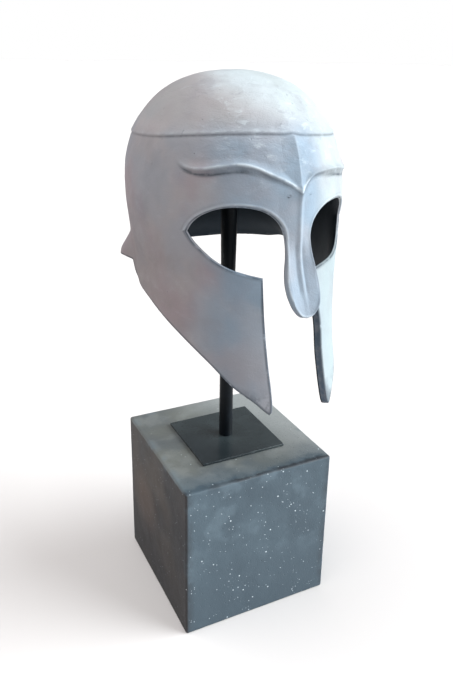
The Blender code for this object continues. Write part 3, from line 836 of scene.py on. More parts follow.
class Value:
    """A node's output, which adds its maths to the tree when it is used in an expression."""

    def __init__(self, tree, socket):
        self.tree, self.socket = tree, socket

    __add__, __radd__ = both_orders("ADD")
    __sub__, __rsub__ = both_orders("SUBTRACT")
    __mul__, __rmul__ = both_orders("MULTIPLY")
    __truediv__, __rtruediv__ = both_orders("DIVIDE")
    __pow__, __rpow__ = both_orders("POWER")
    __gt__ = both_orders("GREATER_THAN")[0]
    __lt__ = both_orders("LESS_THAN")[0]

    def __abs__(self):
        return self.tree.maths("ABSOLUTE", self)

    def largest(self, other):
        return self.tree.maths("MAXIMUM", self, other)

    def smooth(self, start, end):
        """0 at start and 1 at end, on a smooth curve between them."""
        values = {"Value": self, "From Min": start, "From Max": end}
        return self.tree.node("ShaderNodeMapRange", values, interpolation_type="SMOOTHSTEP")

    def mix(self, share, other, blend="MIX"):
        """This colour with another laid over it by a share."""
        return self.tree.mix(share, self, other, blend)

    def coats(self, *coats):
        """This colour with others laid over it in turn: each has a share, a colour and a way to blend."""
        colour = self
        for share, *other in coats:
            colour = colour.mix(share, *other)
        return colour

    def at_least(self, floor):
        """This share raised so that it never falls below a floor."""
        return floor + (1.0 - floor) * self

    def less(self, share=1.0):
        """What is left of 1 when a share of this is taken away."""
        return 1.0 - (self if share == 1.0 else share * self)

    def parts(self):
        """The three numbers of this vector."""
        node = self.tree.node("ShaderNodeSeparateXYZ", {0: self}).socket.node
        return [Value(self.tree, socket) for socket in node.outputs]

    def scaled(self, factor):
        return self.tree.node("ShaderNodeVectorMath", {"Vector": self, "Scale": factor}, operation="SCALE")

    def moved(self, shift=(0.0, 0.0, 0.0), stretch=(1.0, 1.0, 1.0), turn=(0.0, 0.0, 0.0)):
        """This place shifted, stretched and turned, so that another pattern on it looks different."""
        values = {"Vector": self, "Location": shift, "Rotation": turn, "Scale": stretch}
        return self.tree.node("ShaderNodeMapping", values)

    def noise(self, size, detail=3.0, roughness=0.5, distortion=0.0):
        """Soft noise round 0.5, with blotches about as wide as size in metres."""
        values = {"Vector": self, "Scale": 1.0 / size, "Detail": detail}
        values.update({"Roughness": roughness, "Distortion": distortion})
        return self.tree.node("ShaderNodeTexNoise", values, noise_dimensions="3D")

    def cells(self, size):
        """Cells about as wide as size in metres: the distance from their middles, and a number for each."""
        values = {"Vector": self, "Scale": 1.0 / size}
        away, pick = (self.tree.node("ShaderNodeTexVoronoi", values, output) for output in (0, 1))
        return away, pick.parts()[0]

    def distance(self, other):
        return self.tree.vector("DISTANCE", self, other, output=1)


class Tree:
    """A node tree that is written as expressions."""

    def __init__(self, group):
        self.group = group

    def node(self, kind, values=None, output=0, **settings):
        """Adds a node: its settings come first, then the values or links of its sockets."""
        made = self.group.nodes.new(kind)
        for name, value in settings.items():
            setattr(made, name, value)
        for key, value in (values or {}).items():
            if isinstance(value, Value):
                self.group.links.new(value.socket, made.inputs[key])
            else:
                made.inputs[key].default_value = value
        return Value(self, made.outputs[output]) if made.outputs else made

    def maths(self, operation, *operands):
        return self.node("ShaderNodeMath", dict(enumerate(operands)), operation=operation)

    def vector(self, operation, *operands, output=0):
        return self.node("ShaderNodeVectorMath", dict(enumerate(operands)), output, operation=operation)

    def combine(self, x, y, z):
        return self.node("ShaderNodeCombineXYZ", {0: x, 1: y, 2: z})

    def mix(self, share, first, second, blend="MIX"):
        """A colour between two, by a share."""
        first, second = (part if isinstance(part, Value) else (*part, 1.0) for part in (first, second))
        values = {0: share, 6: first, 7: second}
        return self.node("ShaderNodeMix", values, 2, data_type="RGBA", blend_type=blend)


CROWDING = 1.6  # power that draws a box's rows towards its edges
SWELL_SHARES = (0.45, 0.62)  # the rod swells between these shares of its length
BRUSH_STRETCH = (0.55, 0.8, 1.0)  # brush strokes run across more than up


def geometry_group(name, **inputs):
    """A Geometry Nodes group with named inputs of each kind: the tree and its inputs by name."""
    group = bpy.data.node_groups.new(name, "GeometryNodeTree")
    group.interface.new_socket(name="Geometry", in_out="OUTPUT", socket_type="NodeSocketGeometry")
    kinds = {"Geometry": ["Geometry"], **inputs, "Material": ["Material"]}
    labels = [(label, kind) for kind, labels in kinds.items() for label in labels]
    for label, kind in labels:
        group.interface.new_socket(name=label, in_out="INPUT", socket_type=f"NodeSocket{kind}")
    tree = Tree(group)
    entry = tree.node("NodeGroupInput").socket.node
    return tree, {label: Value(tree, entry.outputs[label]) for label, _ in labels}


def close_group(tree, geometry, material):
    """Ends a Geometry Nodes group in real, smoothly shaded geometry with its material."""
    smooth = tree.node("GeometryNodeSetShadeSmooth", {"Geometry": geometry, "Shade Smooth": True})
    real = tree.node("GeometryNodeRealizeInstances", {0: smooth})
    painted = tree.node("GeometryNodeSetMaterial", {"Geometry": real, "Material": material})
    tree.node("NodeGroupOutput", {0: painted})
    return tree.group


def seeded(tree, place, seed):
    """A place shifted by the seed, so that every seed gives its own pattern."""
    return tree.vector("ADD", place, tree.combine(seed, 0.0, 0.0))


def grown(name, mesh, group, values):
    """An object whose plain mesh is the result of a Geometry Nodes group."""
    source = bpy.data.objects.new(name, mesh)
    bpy.context.scene.collection.objects.link(source)
    modifier = source.modifiers.new("shape", "NODES")
    modifier.node_group = group
    for item in group.interface.items_tree:
        if item.in_out == "INPUT" and item.name in values:
            modifier[item.identifier] = values[item.name]
    bpy.context.view_layer.update()
    depsgraph = bpy.context.evaluated_depsgraph_get()
    made = bpy.data.meshes.new_from_object(source.evaluated_get(depsgraph), depsgraph=depsgraph)
    source.modifiers.remove(modifier)
    source.data = made
    made.name = name
    if mesh.users == 0:
        bpy.data.meshes.remove(mesh)
    if not made.polygons:
        raise RuntimeError(f"{name} came out empty")
    return source


def rounded_box_group():
    """A box whose edges are rounded by rule, with a slightly uneven cast surface and chipped edges."""
    sizes = ("Edge radius", "Unevenness", "Chips", "Seed")
    counts = ("Rows", "Layers")
    tree, given = geometry_group("rounded_box", Vector=("Size", "Centre"), Float=sizes, Int=counts)
    grid = {"Vertices X": given["Rows"], "Vertices Y": given["Rows"], "Vertices Z": given["Layers"]}
    cube = tree.node("GeometryNodeMeshCube", {"Size": (2.0, 2.0, 2.0), **grid})
    unit = tree.node("GeometryNodeInputPosition").parts()
    half = given["Size"].scaled(0.5).parts()
    spread, inner = [], []
    for part, extent in zip(unit, half):
        towards_edge = 1.0 - (1.0 - abs(part)) ** CROWDING
        place = tree.maths("SIGN", part) * towards_edge * extent
        limit = extent - given["Edge radius"]
        spread.append(place)
        inner.append(tree.maths("MINIMUM", place, limit).largest(limit * -1.0))
    core = tree.combine(*inner)
    outward = tree.vector("NORMALIZE", tree.vector("SUBTRACT", tree.combine(*spread), core))
    lean = [abs(part) for part in outward.parts()]
    on_edge = lean[0].largest(lean[1]).largest(lean[2]).smooth(0.995, 0.8)
    rounded = tree.vector("ADD", core, outward.scaled(given["Edge radius"]))
    place = tree.vector("ADD", rounded, given["Centre"])
    shifted = seeded(tree, place, given["Seed"])
    swell = (shifted.noise(0.055, 2.0) - 0.5) * given["Unevenness"]
    chip = shifted.noise(0.006, 3.0, 0.6).smooth(0.6, 0.74) * on_edge * given["Chips"]
    place = tree.vector("ADD", place, outward.scaled(swell - chip))
    shaped = tree.node("GeometryNodeSetPosition", {"Geometry": cube, "Position": place})
    return close_group(tree, shaped, given["Material"])


def rod_group():
    """A round rod swept along a line, with a rounded upper end and a thicker upper part."""
    sizes = ("Radius", "Top round", "Swell")
    tree, given = geometry_group("rod", Vector=("Start", "End"), Float=sizes, Int=("Sides", "Rows"))
    ends = {"Start": given["Start"], "End": given["End"]}
    line = tree.node("GeometryNodeCurvePrimitiveLine", ends)
    fine = tree.node("GeometryNodeResampleCurve", {"Curve": line, "Count": given["Rows"]})
    length = given["Start"].distance(given["End"])
    part = tree.node("GeometryNodeSplineParameter")
    from_top = 1.0 - tree.maths("MINIMUM", (1.0 - part) / (given["Top round"] / length), 1.0)
    curve = tree.maths("SQRT", (1.0 - from_top * from_top).largest(0.0))
    body = given["Radius"] - given["Top round"] + given["Top round"] * curve
    swell = given["Swell"] * part.smooth(*SWELL_SHARES) * curve
    ring = tree.node("GeometryNodeCurvePrimitiveCircle", {"Resolution": given["Sides"], "Radius": 1.0})
    sweep = {"Curve": fine, "Profile Curve": ring, "Scale": body + swell, "Fill Caps": True}
    return close_group(tree, tree.node("GeometryNodeCurveToMesh", sweep), given["Material"])


def cast_surface_group():
    """The beaten and brushed skin of a casting: it follows the surface and leaves the rims alone."""
    sizes = ("Hammer depth", "Hammer size", "Brush depth", "Brush size", "Inside depth", "Seed")
    tree, given = geometry_group("cast_surface", Float=sizes)
    place = tree.node("GeometryNodeInputPosition")
    shifted = seeded(tree, place, given["Seed"])
    inside, gap = (
        tree.node("GeometryNodeInputNamedAttribute", {"Name": name}, data_type="FLOAT")
        for name in ("inside", "rim_gap")
    )
    clear = gap.smooth(0.0, 0.006)
    _, along, up = place.parts()
    rough = along.smooth(0.03, -0.06) * up.smooth(0.515, 0.545).at_least(0.45)
    beaten = shifted.noise(given["Hammer size"], 1.0)
    brushed = tree.vector("MULTIPLY", shifted, BRUSH_STRETCH).noise(given["Brush size"], 3.0, 0.6, 0.6)
    height = (beaten - 0.5) * given["Hammer depth"] + (brushed - 0.5) * given["Brush depth"] * rough
    hollow = (shifted.noise(0.022, 2.0) - 0.5) * given["Inside depth"] * inside.smooth(0.9, 1.0)
    normal = tree.node("GeometryNodeInputNormal")
    offset = normal.scaled(height * (inside.smooth(0.1, 0.0) * clear) + hollow * clear)
    shaped = tree.node("GeometryNodeSetPosition", {"Geometry": given["Geometry"], "Offset": offset})
    return close_group(tree, shaped, given["Material"])


# ---------------------------------------------------------------- finishes

# smooth() takes metres where it follows a place, and shares of 1 where it follows noise or a stored value.


def rgb(red, green, blue):
    """A colour as a screen shows it, from 0 to 255, in the linear form that the nodes use."""
    shares = (part / 255 for part in (red, green, blue))
    return tuple(s / 12.92 if s <= 0.04045 else ((s + 0.055) / 1.055) ** 2.4 for s in shares)


def new_finish(name):
    """An empty material: the material, its tree and the place on the piece in metres."""
    material = bpy.data.materials.new(name)
    material.use_nodes = True
    material.node_tree.nodes.clear()
    tree = Tree(material.node_tree)
    return material, tree, tree.node("ShaderNodeTexCoord", output=3)


def stored(tree, name):
    """A value that the mesh carries at its points."""
    return tree.node("ShaderNodeAttribute", output=2, attribute_type="GEOMETRY", attribute_name=name)


def close_finish(tree, colour, roughness, bumps, specular):
    """Ends a material: its colour, its roughness and a chain of bumps, each with a depth in metres."""
    normal = {}
    for height, depth in bumps:
        values = {"Strength": 1.0, "Distance": depth, "Height": height, **normal}
        normal = {"Normal": tree.node("ShaderNodeBump", values)}
    values = {"Base Color": colour, "Roughness": roughness, "Specular IOR Level": specular, **normal}
    tree.node("ShaderNodeOutputMaterial", {"Surface": tree.node("ShaderNodeBsdfPrincipled", values)})


def whitewashed_cast(finish):
    """Chalky whitewash over a dark casting: mottled and brushed, with painted shade in its grooves and on its
    shaded side, and painted highlights and light on its crests, dome and lit side.
    """
    material, tree, place = new_finish("whitewashed_cast")
    grime_and_shade, wear_and_highlight, inside, gap = (stored(tree, name) for name in KEPT_LAYERS)
    across, along, up = place.parts()

    cloudy = place.noise(0.045, 3.0, 0.5, 0.3)
    drift = place.moved((0.31, 0.12, 0.57)).noise(0.085, 3.0, 0.55)
    below_cap = up.smooth(0.59, 0.548)
    on_nose = abs(across).smooth(0.028, 0.02) * up.smooth(0.49, 0.47)
    low_front = (along + (drift - 0.5) * 0.08).smooth(-0.072, -0.122) * below_cap
    lilac = place.moved((0.77, 0.2, 0.05)).noise(0.07, 3.0).smooth(0.4, 0.62)
    lilac = lilac * up.smooth(0.57, 0.5).at_least(0.35) * low_front.less(0.75)
    green = place.moved((0.13, 0.91, 0.4)).noise(0.06, 3.0).smooth(0.36, 0.6)
    rear = up.smooth(0.53, 0.4) * along.smooth(-0.105, -0.04) * cloudy.smooth(0.36, 0.6).at_least(0.55)
    left_side = across.smooth(0.012, 0.045)
    tip = up.smooth(0.385, 0.345) * across.smooth(0.0, 0.02).less()
    low_front = low_front * tip.less(0.45)
    cool = low_front * green.at_least(0.66) * left_side.less(0.75) * on_nose.less(0.18)
    # Painted light and shade over the dome: paler and bluer towards the key light, darker away from it
    to_light = across * 0.7 - along * 0.5 + (up - 0.585) * 1.4 + (drift - 0.5) * 0.07
    painted_dome_light = to_light.smooth(-0.002, 0.06) * low_front.less()
    on_cap = up.smooth(0.558, 0.572)
    left_cheek = left_side * low_front * up.smooth(0.462, 0.44)
    # Painted shade: the right side below the cap, turned away from the key light, is darkened
    painted_wall_shade = up.smooth(0.562, 0.547) * across.smooth(-0.01, -0.06) * up.smooth(0.48, 0.38).at_least(0.7)
    painted_wall_shade = painted_wall_shade * (low_front * up.smooth(0.445, 0.475)).less(0.95)
    painted_wall_shade = painted_wall_shade * (up.smooth(0.44, 0.4) * up.smooth(0.335, 0.375)).less(0.35)

    strokes = place.moved(stretch=(0.42, 0.42, 1.0)).noise(0.0066, 4.0, 0.62, 0.35)
    patch = place.moved((0.44, 0.63, 0.27)).noise(0.04, 2.0, 0.5)
    on_front = along.smooth(0.03, -0.07) * up.smooth(0.5, 0.545)
    over_brow = place.distance((-0.034, -0.135, 0.546)) + (patch - 0.5) * 0.05
    spread = patch.smooth(0.34, 0.54) * (across + (patch - 0.5) * 0.03).smooth(-0.078, -0.05)
    worked = on_front * spread.largest(over_brow.smooth(0.036, 0.012))
    grain = place.noise(0.0016, 3.0, 0.6)
    wash = tree.mix(0.95 * lilac, finish.whitewash, finish.lilac_tint).coats(
        (0.3 * green * below_cap, finish.green_tint),
        (rear, finish.warm_tint),
        (0.92 * cool, finish.green_tint),
        # Painted light: the left side and the dome, where the key light falls, are painted paler and bluer
        (0.85 * left_side * low_front, finish.painted_light_tint),
        (0.8 * painted_dome_light, finish.painted_light_tint),
        # Painted light: chalk over the middle of the cap where it turns towards the key light; painted shade
        # on the cap where it turns away
        (0.42 * (painted_dome_light * across.smooth(0.024, -0.02) * on_cap), finish.chalk_and_highlight),
        (on_cap * to_light.smooth(0.03, -0.01), (0.93, 0.96, 0.95), "MULTIPLY"),
        (left_cheek, (0.79, 0.82, 0.83), "MULTIPLY"),
        (0.3 * cloudy.smooth(0.48, 0.7), finish.thin_wash),
        # Painted shade on the right side below the cap
        (painted_wall_shade, (0.76, 0.76, 0.77), "MULTIPLY"),
        (0.36 * (strokes.smooth(0.54, 0.7) * worked.at_least(0.1)), finish.chalk_and_highlight),
        (0.28 * (strokes.smooth(0.44, 0.3) * worked.at_least(0.12)), finish.thin_wash),
        (0.12 * grain.smooth(0.52, 0.3), finish.thin_wash),
    )

    spot, pick = place.cells(0.015)
    pits = spot.smooth(0.06, 0.026) * (pick > 0.66)
    mark = place.moved(stretch=(1.0, 1.0, 0.22), turn=(0.3, 0.5, 0.2)).noise(0.0034, 1.0, 0.5, 0.4)
    marks = mark.smooth(0.73, 0.78) * on_front.at_least(0.1)
    patchy = place.moved((0.2, 0.6, 0.1)).noise(0.01, 3.0, 0.55)
    # Painted shade in the grooves, under the brow and under the seam, made patchy like grime
    in_groove = grime_and_shade * (0.7 + 0.5 * patchy.smooth(0.3, 0.62))
    on_cheek = up.smooth(0.425, 0.405) * on_nose.less()
    dark_rim = gap.smooth(0.0024 + 0.001 * on_cheek, 0.0011) * on_cheek.largest(gap.smooth(0.0001, 0.0006))
    dark_rim = dark_rim * patchy.smooth(0.28, 0.56 - 0.1 * on_cheek) * inside.smooth(0.9, 0.2)
    dark_rim = dark_rim * wear_and_highlight.smooth(0.3, 0.05)
    cheek_tip = (up + (patchy - 0.5) * 0.03).smooth(0.334, 0.312) * gap.smooth(0.014, 0.002)
    dark = (in_groove * 0.7).largest(dark_rim * (0.75 - 0.05 * on_cheek))
    dark = dark.largest((pits * 0.5).largest(marks * 0.26))
    dark = dark.largest(cheek_tip * patchy.smooth(0.4, 0.6) * 0.6)
    left_edge = on_nose * across.smooth(0.004, 0.009) * gap.smooth(0.0034, 0.0016)
    # Painted shade along the left brow's crest, where its painted highlight is also taken away
    left_brow = across.smooth(0.006, 0.014) * up.smooth(0.498, 0.506)
    # Painted highlight on the crests and the bevel's edge, with some wear
    crest = wear_and_highlight * patchy.smooth(0.36, 0.62).at_least(0.35) * left_edge.less() * left_brow.less(0.85)

    speckle = place.moved((0.9, 0.1, 0.3)).noise(0.005, 3.0, 0.6)
    # Painted light: the cut face on the left cheek, which faces away from the key light, is lightened with
    # thin wash
    thin_share = 0.38 * speckle.smooth(0.4, 0.7) + 0.22 * left_cheek
    cut = tree.mix(thin_share, finish.bare_metal, finish.thin_wash)
    at_eye = up.smooth(0.426, 0.44) * along.smooth(-0.03, -0.06) * on_nose.less()
    cut_share = inside.smooth(0.1, 0.3) * at_eye.less() + inside.smooth(0.35, 0.8) * at_eye
    cut_share = cut_share * on_nose.less(0.88)
    lining = tree.mix(place.noise(0.03, 4.0, 0.6), finish.inside, finish.bare_metal)
    colour = wash.coats(
        # Painted shade from the grooves, mixed with real pits, marks, worn rims and chips
        (dark, finish.grime_and_shade),
        (0.22 * left_brow * wear_and_highlight, finish.grime_and_shade),
        (0.35 * left_edge, finish.grime_and_shade),
        (0.8 * crest, finish.chalk_and_highlight),
        (cut_share * patchy.smooth(0.35, 0.6).at_least(0.75), cut),
        (inside.smooth(0.7, 0.95), tree.mix(0.2, finish.inside, lining)),
    )

    roughness = 0.66 + 0.16 * (grain - 0.5) + 0.12 * dark - 0.1 * crest
    roughness = roughness - inside.smooth(0.5, 1.0) * 0.04
    outer = inside.smooth(0.9, 0.4)
    bumps = (
        (strokes * worked.at_least(0.12) * outer, 0.0012),
        (grain * outer.at_least(0.4) - pits * 0.8 - marks * 0.6, 0.00028),
        (patchy * grime_and_shade.largest(wear_and_highlight).at_least(0.3), 0.0007),
    )
    close_finish(tree, colour, roughness, bumps, 0.16)
    return material


# Columns: width of the cells, radius of a speck, share of the cells that have one, shift of the pattern
SPECKS = (
    (0.0066, 0.00105, 0.5, (0.0, 0.0, 0.0)),
    (0.0046, 0.00072, 0.5, (0.5, 0.2, 0.9)),
    (0.0034, 0.00046, 0.45, (0.2, 0.7, 0.4)),
)


def speckled_stone(finish):
    """Cast stone: cloudy blue-grey sides with white specks, a brown side and a smoother greenish top."""
    material, tree, place = new_finish("speckled_stone")
    across, along, up = place.parts()
    cloudy = place.noise(0.06, 2.5, 0.5, 0.3)
    small = place.moved((0.3, 0.8, 0.5)).noise(0.024, 2.5, 0.5)
    grain = place.noise(0.0018, 3.0, 0.65)
    ragged = (place.moved((0.6, 0.2, 0.9)).noise(0.02, 4.0, 0.7) - 0.5) * 0.02
    broad = place.moved((0.9, 0.1, 0.4)).noise(0.08, 1.0, 0.4)
    wander = (broad - 0.5) * 0.05

    low = up.smooth(0.15, 0.01)
    brown_side = across.smooth(BLOCK_LOW.x + 0.0035, BLOCK_LOW.x + 0.0008)
    spot = place.distance((BLOCK_LOW.x, 0.045, 0.095)) + wander
    by_edge = (along + wander).smooth(-0.01, -0.075)
    earthy = tree.mix(broad.smooth(0.3, 0.66), finish.brown_dark, finish.brown).coats(
        (0.85 * spot.smooth(0.055, 0.01), finish.rust),
        ((0.75 * low).largest(0.75 * by_edge), finish.brown_dark),
    )
    flat = up.smooth(BLOCK_HIGH.z - 0.002, BLOCK_HIGH.z - 0.0004)
    side = tree.mix(cloudy.smooth(0.3, 0.62), finish.stone_dark, finish.stone).coats(
        (0.55 * small.smooth(0.5, 0.7), finish.stone_light),
        (0.5 * small.smooth(0.44, 0.28), finish.stone_dark),
        (brown_side, earthy),
        (0.8 * low * brown_side.less(), finish.stone_dark),
        (0.75 * flat, finish.stone_dark),
    )

    from_front = along - BLOCK_LOW.y
    on_top = up.smooth(BLOCK_HIGH.z - 0.0035, BLOCK_HIGH.z - 0.0008)
    on_top = on_top * (from_front + 1.8 * ragged).smooth(0.001, 0.015)
    towards_right = (across + along * 0.4 + (cloudy - 0.5) * 0.06).smooth(-0.01, 0.085)
    by_front = (from_front + (cloudy - 0.5) * 0.03).smooth(0.045, 0.008)
    top = tree.mix(cloudy.smooth(0.38, 0.66), finish.top_dark, finish.top).coats(
        (0.2 * small.smooth(0.46, 0.66), finish.top_light),
        (towards_right, finish.top_light),
        (0.5 * by_front, finish.stone),
    )

    front_edge = (from_front + 0.6 * ragged).smooth(0.007, 0.003) * flat * across.smooth(-0.075, -0.045)
    sides = zip((abs(across), abs(along), up), BLOCK_HIGH)
    edge_x, edge_y, edge_z = (part.smooth(end - 0.012, end - 0.002) for part, end in sides)
    near_edge = (edge_x * edge_z).largest(edge_y * edge_z).largest(0.5 * edge_x * edge_y)
    worn_corner = (across * -1.0 - along + (small - 0.5) * 0.05).smooth(0.13, 0.165) * on_top
    upright = edge_x * edge_y * ragged.smooth(0.003, -0.002)
    clusters = place.moved((0.1, 0.4, 0.7)).noise(0.024, 2.0).smooth(0.48, 0.62)
    plain = on_top.largest(brown_side).less(0.85)
    specks = None
    for size, radius, share, shift in SPECKS:
        away, pick = place.moved(shift).cells(size)
        chosen = pick < share * plain * clusters.at_least(0.16)
        dots = away.smooth(radius / size, 0.5 * radius / size) * chosen
        specks = dots if specks is None else specks.largest(0.85 * dots)
    pores = place.moved((0.3, 0.3, 0.3)).cells(0.006)[0].smooth(0.15, 0.06)
    colour = side.coats(
        (on_top, top),
        (0.75 * front_edge, finish.brown_dark),
        (0.4 * (near_edge * small.smooth(0.5, 0.68)), finish.stone_light),
        (0.35 * worn_corner, finish.stone_light),
        (0.45 * upright, finish.brown_dark),
        (0.9 * specks, finish.speck),
        (0.4 * pores, finish.stone_dark),
        (0.22 * grain.smooth(0.5, 0.3), finish.stone_dark),
    )

    roughness = 0.62 + 0.2 * (small - 0.5) - 0.1 * on_top + 0.1 * specks
    bumps = ((small, 0.0007), (grain * 0.7 - pores + specks * 0.5, 0.0003))
    close_finish(tree, colour, roughness, bumps, 0.4)
    return material


def black_steel(finish):
    """Satin black-green steel with smudges, fine scratches, rubbed edges and a painted reflection of the post
    towards its front corner.
    """
    material, tree, place = new_finish("black_steel")
    across, along, _ = place.parts()
    smudge = place.noise(0.03, 4.0, 0.6, 0.6)
    scratch = place.moved((0.2, 0.1, 0.0), (1.0, 0.04, 1.0)).noise(0.0012, 2.0, 0.6).smooth(0.66, 0.74)
    grain = place.noise(0.0009, 2.0, 0.6)
    # Painted reflection: the post's dark colour laid on the plate between the post and its front corner
    painted_post_reflection = (smudge * 0.02 - across - along).smooth(0.01, 0.075)
    sides = zip((abs(across), abs(along)), PLATE_HIGH)
    edge_x, edge_y = (part.smooth(end - 0.0012, end - 0.0002) for part, end in sides)
    ragged = place.moved((0.7, 0.7, 0.0)).noise(0.006, 3.0, 0.7)
    rubbed = edge_x.largest(edge_y) * ragged.smooth(0.5, 0.66)
    colour = tree.mix(smudge.smooth(0.38, 0.68), finish.plate_dark, finish.plate).coats(
        (0.55 * painted_post_reflection, finish.post),
        (0.14 * rubbed, finish.plate_edge),
        (0.03 * scratch, finish.plate_edge),
    )
    roughness = 0.24 + 0.08 * (smudge - 0.5) + 0.02 * scratch + 0.02 * (grain - 0.5)
    close_finish(tree, colour, roughness, ((grain + 0.3 * smudge, 0.000012),), 0.5)
    return material


def black_paint(finish):
    """Satin black paint on a round bar, drawn out along it, with a little dust and a few rubs."""
    material, tree, place = new_finish("black_paint")
    streak = place.moved(stretch=(1.0, 1.0, 0.06)).noise(0.0022, 3.0, 0.6)
    smudge = place.noise(0.018, 4.0, 0.6, 0.4)
    grain = place.noise(0.0008, 2.0, 0.6)
    colour = tree.mix(smudge.smooth(0.38, 0.66), finish.post_dark, finish.post)
    rub = streak.smooth(0.6, 0.74) * smudge.smooth(0.48, 0.64)
    colour = colour.mix(0.35 * rub, finish.plate_edge)
    roughness = 0.42 + 0.14 * (smudge - 0.5) + 0.1 * (streak - 0.5)
    close_finish(tree, colour, roughness, ((grain + 0.5 * streak, 0.00006),), 0.14)
    return material


def pale_floor(colour):
    """A plain pale studio floor with a trace of unevenness."""
    material, tree, place = new_finish("pale_floor")
    drift = place.noise(0.4, 2.0)
    tone = tree.mix(drift, colour, [part * 0.985 for part in colour])
    close_finish(tree, tone, 0.75 + 0.05 * (drift - 0.5), ((drift, 0.0001),), 0.1)
    return material


# ---------------------------------------------------------------- settings


def number(name, default, description, **limits):
    return bpy.props.FloatProperty(name=name, description=description, default=default, min=0.0, **limits)


def length(name, default, description, top=0.05):
    return number(name, default, description, max=top, unit="LENGTH", precision=5)


def colour(name, default, description):
    return bpy.props.FloatVectorProperty(
        name=name, description=description, default=default, size=3, min=0.0, max=1.0, subtype="COLOR"
    )


class HelmetForm(bpy.types.PropertyGroup):
    """Sizes of the cast wall and of what stands out from it."""

    wall: length("Wall", 0.008, "Thickness of the cast wall")
    eye_wall: length("Wall at the eyes", 0.0035, "Thickness of the wall at the rim of the eyes")
    eye_taper: length("Eye taper", 0.022, "Distance from the eyes over which the wall thins")
    rim_thinning: length("Rim thinning", 0.0038, "How much the wall thins at the rim behind the cheek pieces")
    rim_round: length("Rim rounding", 0.0009, "Rounding of the outer edge of every rim")
    inner_round: length("Inner rounding", 0.0008, "Rounding of the inner edge of every rim")
    brow_height: number("Brow height", 1.2, "Share of the brow ridges' height", max=1.5, subtype="FACTOR")
    keel_height: length("Forehead ridge", 0.003, "Height of the ridge down the forehead")
    keel_reach: length("Ridge reach", 0.018, "Distance over which the forehead ridge slopes down")
    bridge_height: length("Bridge", 0.0022, "Height of the ridge between the eyes")
    dish_depth: length("Dish", 0.004, "How far the sides of the nose guard turn up round its rib")
    rib_height: length("Nose rib", 0.0012, "Height of the rib down the nose guard")
    lip_width: length("Bevel width", 0.003, "Width of the bevel over the eyes")
    low_lip_width: length("Lower bevel", 0.0012, "Width of the bevel under the eyes")
    nose_lip_width: length("Nose bevel", 0.001, "Width of the bevel down the nose guard")
    lip_height: length("Bevel depth", 0.0017, "Depth of the bevel round the eyes")
    seam_step: length("Seam step", 0.0012, "Height of the step under the cap")
    hammer_depth: length("Hammer depth", 0.0012, "Depth of the broad unevenness of the skin")
    hammer_size: length("Hammer size", 0.022, "Width of the broad unevenness of the skin")
    brush_depth: length("Brush depth", 0.0007, "Depth of the brushed strokes on the dome and forehead")
    brush_size: length("Brush size", 0.0085, "Width of the brushed strokes")
    inside_depth: length("Inside depth", 0.0016, "Depth of the unevenness of the inside")


class StandForm(bpy.types.PropertyGroup):
    """Sizes of the post, the plate and the stone block."""

    post_round: length("Post rounding", 0.002, "Rounding of the post's upper end")
    post_swell: length("Post swelling", 0.0008, "How much the post's radius grows in its upper part")
    plate_round: length("Plate rounding", 0.0006, "Rounding of the plate's edges")
    block_round: length("Block rounding", 0.0024, "Rounding of the block's edges")
    block_unevenness: length("Block unevenness", 0.0008, "Depth of the block's slow unevenness")
    block_chips: length("Chips", 0.001, "Depth of the chips along the block's edges")


class Finishes(bpy.types.PropertyGroup):
    """Colours of the helmet and its stand."""

    whitewash: colour("Whitewash", rgb(153, 148, 149), "The plain whitewash")
    lilac_tint: colour("Lilac", rgb(146, 131, 136), "Blotches on the dome and cheeks")
    green_tint: colour("Blue-green", rgb(122, 138, 152), "Blotches towards the front")
    # Painted light: the side and the dome that face the key light
    painted_light_tint: colour("Pale blue", rgb(158, 167, 168), "The left of the dome and of the face")
    warm_tint: colour("Warm grey", rgb(135, 126, 125), "The rear of the cheek pieces")
    thin_wash: colour("Thin wash", rgb(122, 121, 127), "Where the whitewash is rubbed thin")
    # Also painted highlights on the crests and painted light over the cap
    chalk_and_highlight: colour("Chalk", rgb(186, 194, 200), "Crests and fresh brush strokes")
    # Also painted shade in the grooves, under the brow and under the seam step
    grime_and_shade: colour("Grime", rgb(52, 60, 68), "Grooves, pits and worn rims")
    bare_metal: colour("Bare metal", rgb(62, 78, 93), "The cut face of the wall")
    inside: colour("Inside", rgb(14, 24, 31), "The inside of the helmet")
    stone: colour("Stone", rgb(65, 79, 88), "The block's sides")
    stone_dark: colour("Dark stone", rgb(55, 68, 77), "Darker clouds in the stone")
    stone_light: colour("Light stone", rgb(82, 96, 105), "Lighter clouds and rubbed edges")
    brown: colour("Brown", rgb(58, 51, 46), "The block's brown side")
    brown_dark: colour("Dark brown", rgb(30, 29, 32), "Darker clouds on the brown side")
    rust: colour("Rust", rgb(77, 61, 51), "The warm patch on the brown side")
    top: colour("Top", rgb(94, 96, 92), "The block's top")
    top_dark: colour("Dark top", rgb(84, 88, 89), "Darker clouds on the top")
    top_light: colour("Light top", rgb(140, 143, 142), "Lighter clouds on the top")
    speck: colour("Speck", rgb(201, 210, 216), "The specks in the stone")
    plate: colour("Plate", rgb(51, 58, 60), "The steel plate")
    plate_dark: colour("Dark plate", rgb(43, 50, 52), "Smudges on the plate")
    plate_edge: colour("Rubbed edge", rgb(110, 116, 118), "Rubbed edges and scratches")
    post: colour("Post", rgb(9, 15, 21), "The post's paint")
    post_dark: colour("Dark post", rgb(7, 11, 15), "Smudges on the post")


